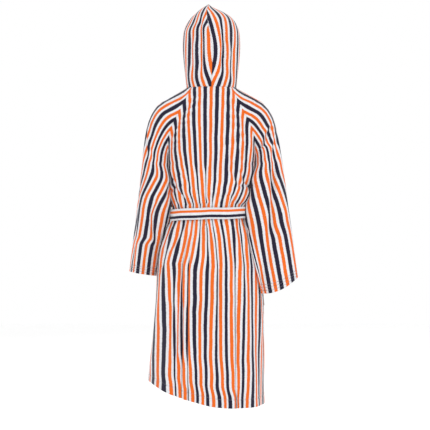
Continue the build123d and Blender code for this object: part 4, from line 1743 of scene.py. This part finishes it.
def belt_loops():
    """Tape loops at the side seams that hold the belt up."""
    for word, side in (("left", 1), ("right", -1)):
        angle = side * math.pi / 2 - side * 0.10
        up = np.linspace(33, -33, 41)
        over = ease((27 - np.abs(up)) / 7)
        base = on_belt(np.full(41, angle), 0, up)
        out = on_belt([angle], 10, 0)[0] - on_belt([angle], 0, 0)[0]
        out /= np.linalg.norm(out)
        line = base + out * (-1.6 + (BELT_THICK + 3.0) * over)[:, None]
        wide, normal = frame_along(line, np.tile(out, (41, 1)))
        made, _, _ = strap(word + "_belt_loop_tape", line, wide, normal, 11, 1.4, "belt_loop_tape", steps=9)
        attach(made, "robe")
        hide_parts(word + "_belt_loop")


belt_loops()


# ---------------------------------------------------------------- pockets

POCKET_TOP, POCKET_LOW, POCKET_HEM = -560.0, -735.0, 28.0
POCKET_BACK, POCKET_THICK, POCKET_PUFF, POCKET_INSET = 2.4, 4.0, 4.0, 4.0


def pockets():
    """A patch pocket on each front, with a thicker hem along its mouth and stitches round it."""
    for word, low_s, high_s in (("left", 80.0, 253.0), ("right", -253.0, -64.0)):
        panel = panels[word + "_front"]
        top, low = row_at(POCKET_TOP), row_at(POCKET_LOW)
        hem = row_at(POCKET_TOP - POCKET_HEM)
        middle = int(round((top + low) / 2))
        ends = sorted(column_at(panel, middle, s) for s in (low_s, high_s))
        columns = between_steps(*ends)

        def puff(down, over):
            """How far the pocket stands off its front, which grows towards its mouth."""
            across = np.clip((over - ends[0]) / (ends[1] - ends[0]), 0, 1)
            share = np.clip((low - down) / (low - top), 0, 1) ** 2
            return POCKET_PUFF * np.maximum(np.sin(across * math.pi), 0) ** 1.2 * share

        for part, first, last, thick in (("_pocket_cloth", hem, low, POCKET_THICK),
                                         ("_pocket_hem_cloth", top, hem - 0.1, POCKET_THICK + 1.2)):
            rows = between_steps(first, last)
            made = inlay(word + part, panel, rows, columns, POCKET_BACK, POCKET_BACK + thick, round_to=2.2,
                         bulge=puff(rows[:, None], columns[None, :]))
            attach(made, "robe")
            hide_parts(word + ("_pocket" if part == "_pocket_cloth" else "_pocket_hem"))
            down = round(abs(last - first) * CELL_DOWN * MM, 3)
        inset = POCKET_INSET / CELL_ACROSS
        down = np.linspace(top + 0.4, low - 0.6, 60)
        over = np.linspace(ends[0] + inset, ends[1] - inset, 60)
        sides = [(down, np.full(60, c)) for c in (ends[0] + inset, ends[1] - inset)]
        lines = []
        for at_rows, at_columns in sides + [(np.full(60, r), over) for r in (low - 0.7, hem + 0.6)]:
            line, normal = stitch_line(panel, at_rows, at_columns, 0)
            rise = POCKET_BACK + POCKET_THICK - 0.25 + puff(at_rows, at_columns)
            lines.append((line + normal * rise[:, None], normal))
        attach(stitches(word + "_pocket_stitches", lines), "robe")


pockets()


# ---------------------------------------------------------------- neck tape, label and hanging loop

def neck_trims():
    """The tape over the neck seam inside, the blank label below it and the hanging loop."""
    angle = np.linspace(-1.75, 1.75, 90)
    middle_x, middle_y, half_x, half_y = body_at(-8)[:, 0]
    inside = 4.1
    line = np.column_stack([middle_x + (half_x - inside) * np.sin(angle),
                            middle_y + (half_y - inside) * np.cos(angle),
                            -6.0 + 0.5 * np.sin(angle * 9)])
    out = np.column_stack([-np.sin(angle), -np.cos(angle), 0 * angle])
    wide, normal = frame_along(line, out)
    made, outer, _ = strap("neck_tape_twill", line, wide, normal, 13, 1.4, "white_tape", steps=9)
    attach(made, "robe")
    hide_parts("neck_tape")
    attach(stitches("neck_tape_stitches", [(outer[:, j] - normal * 0.1, normal) for j in (1, -2)]), "robe")
    panel = panels["back"]
    row = int(round(row_at(-42)))
    ends = sorted(column_at(panel, row, s) for s in (-22.0, 22.0))
    rows = between_steps(row_at(-26), row_at(-60), step=0.5)
    columns = between_steps(*ends, step=0.5)
    label = inlay("blank_label_satin", panel, rows, columns, -3.0, -2.2, material="blank_label", round_to=0.4)
    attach(label, "robe")
    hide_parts("blank_label")
    # the hanging loop is a tape bent into a U, sewn in under the neck tape
    bend = np.linspace(0, math.pi, 25)
    half, drop = 19.0, 19.0
    arc = np.column_stack([half * np.cos(bend), 63.5 + 0.5 * np.sin(bend),
                           -27.0 - drop * np.sin(bend) * 0.98])
    legs = np.linspace(-8.2, -27.0, 12)[:-1]
    left = np.column_stack([np.full(11, half), np.full(11, 63.5), legs])
    line = np.concatenate([left, arc, (left * [-1, 1, 1])[::-1]])
    _, normal = frame_along(line, np.tile([0, -1.0, 0], (len(line), 1)))
    along = np.gradient(line, axis=0)
    wide = np.cross(normal, along / np.linalg.norm(along, axis=1)[:, None])
    loop, _, _ = strap("hanging_loop_tape", line, wide, normal, 7.6, 1.4, "white_tape", steps=9)
    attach(loop, "hanging_loop")
    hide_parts("hanging_loop")


neck_trims()


# ---------------------------------------------------------------- stage

scene = bpy.context.scene
CAMERA_FAR = 4.5  # metres from the robe's middle
PIXELS, PIXEL = 430, 3.4 * MM  # the picture's width, and the size of one pixel at the robe
camera = bpy.data.objects.new("camera", bpy.data.cameras.new("camera"))
camera.data.sensor_width = 36
camera.data.angle = 2 * math.atan(PIXELS * PIXEL / 2 / CAMERA_FAR)
camera.location = (-0.012, CAMERA_FAR, -0.43)
camera.rotation_euler = (math.radians(90), 0, math.radians(180))
scene.collection.objects.link(camera)
scene.camera = camera

FLOOR_Z, FLOOR_HALF = -1.30, 6.0
floor_mesh = bpy.data.meshes.new("floor")
corners = [(x * FLOOR_HALF, y * FLOOR_HALF, FLOOR_Z) for x, y in ((-1, -1), (1, -1), (1, 1), (-1, 1))]
floor_mesh.from_pydata(corners, [], [(0, 1, 2, 3)])
floor = bpy.data.objects.new("floor", floor_mesh)
scene.collection.objects.link(floor)
pale = bpy.data.materials.new("floor_pale")
pale.use_nodes = True
pale.node_tree.nodes["Principled BSDF"].inputs["Base Color"].default_value = (0.98, 0.98, 0.98, 1)
pale.node_tree.nodes["Principled BSDF"].inputs["Roughness"].default_value = 0.9
floor_mesh.materials.append(pale)

world = bpy.data.worlds.new("studio")
scene.world = world
world.use_nodes = True
world.node_tree.nodes["Background"].inputs["Color"].default_value = (1, 1, 1, 1)
world.node_tree.nodes["Background"].inputs["Strength"].default_value = 1.0
scene.view_settings.view_transform = "Standard"
# place, size and power of each soft light
LIGHTS = (((-1.8, 3.2, 1.6), 2.2, 31), ((2.2, 2.6, 0.6), 2.5, 7), ((1.5, -3.0, 1.6), 2.5, 31))
for place, size, power in LIGHTS:
    light = bpy.data.lights.new("area", "AREA")
    light.size = size
    light.energy = power
    lamp = bpy.data.objects.new("area", light)
    lamp.location = place
    lamp.rotation_euler = (Vector((0, 0, -0.45)) - Vector(place)).to_track_quat("-Z", "Y").to_euler()
    scene.collection.objects.link(lamp)
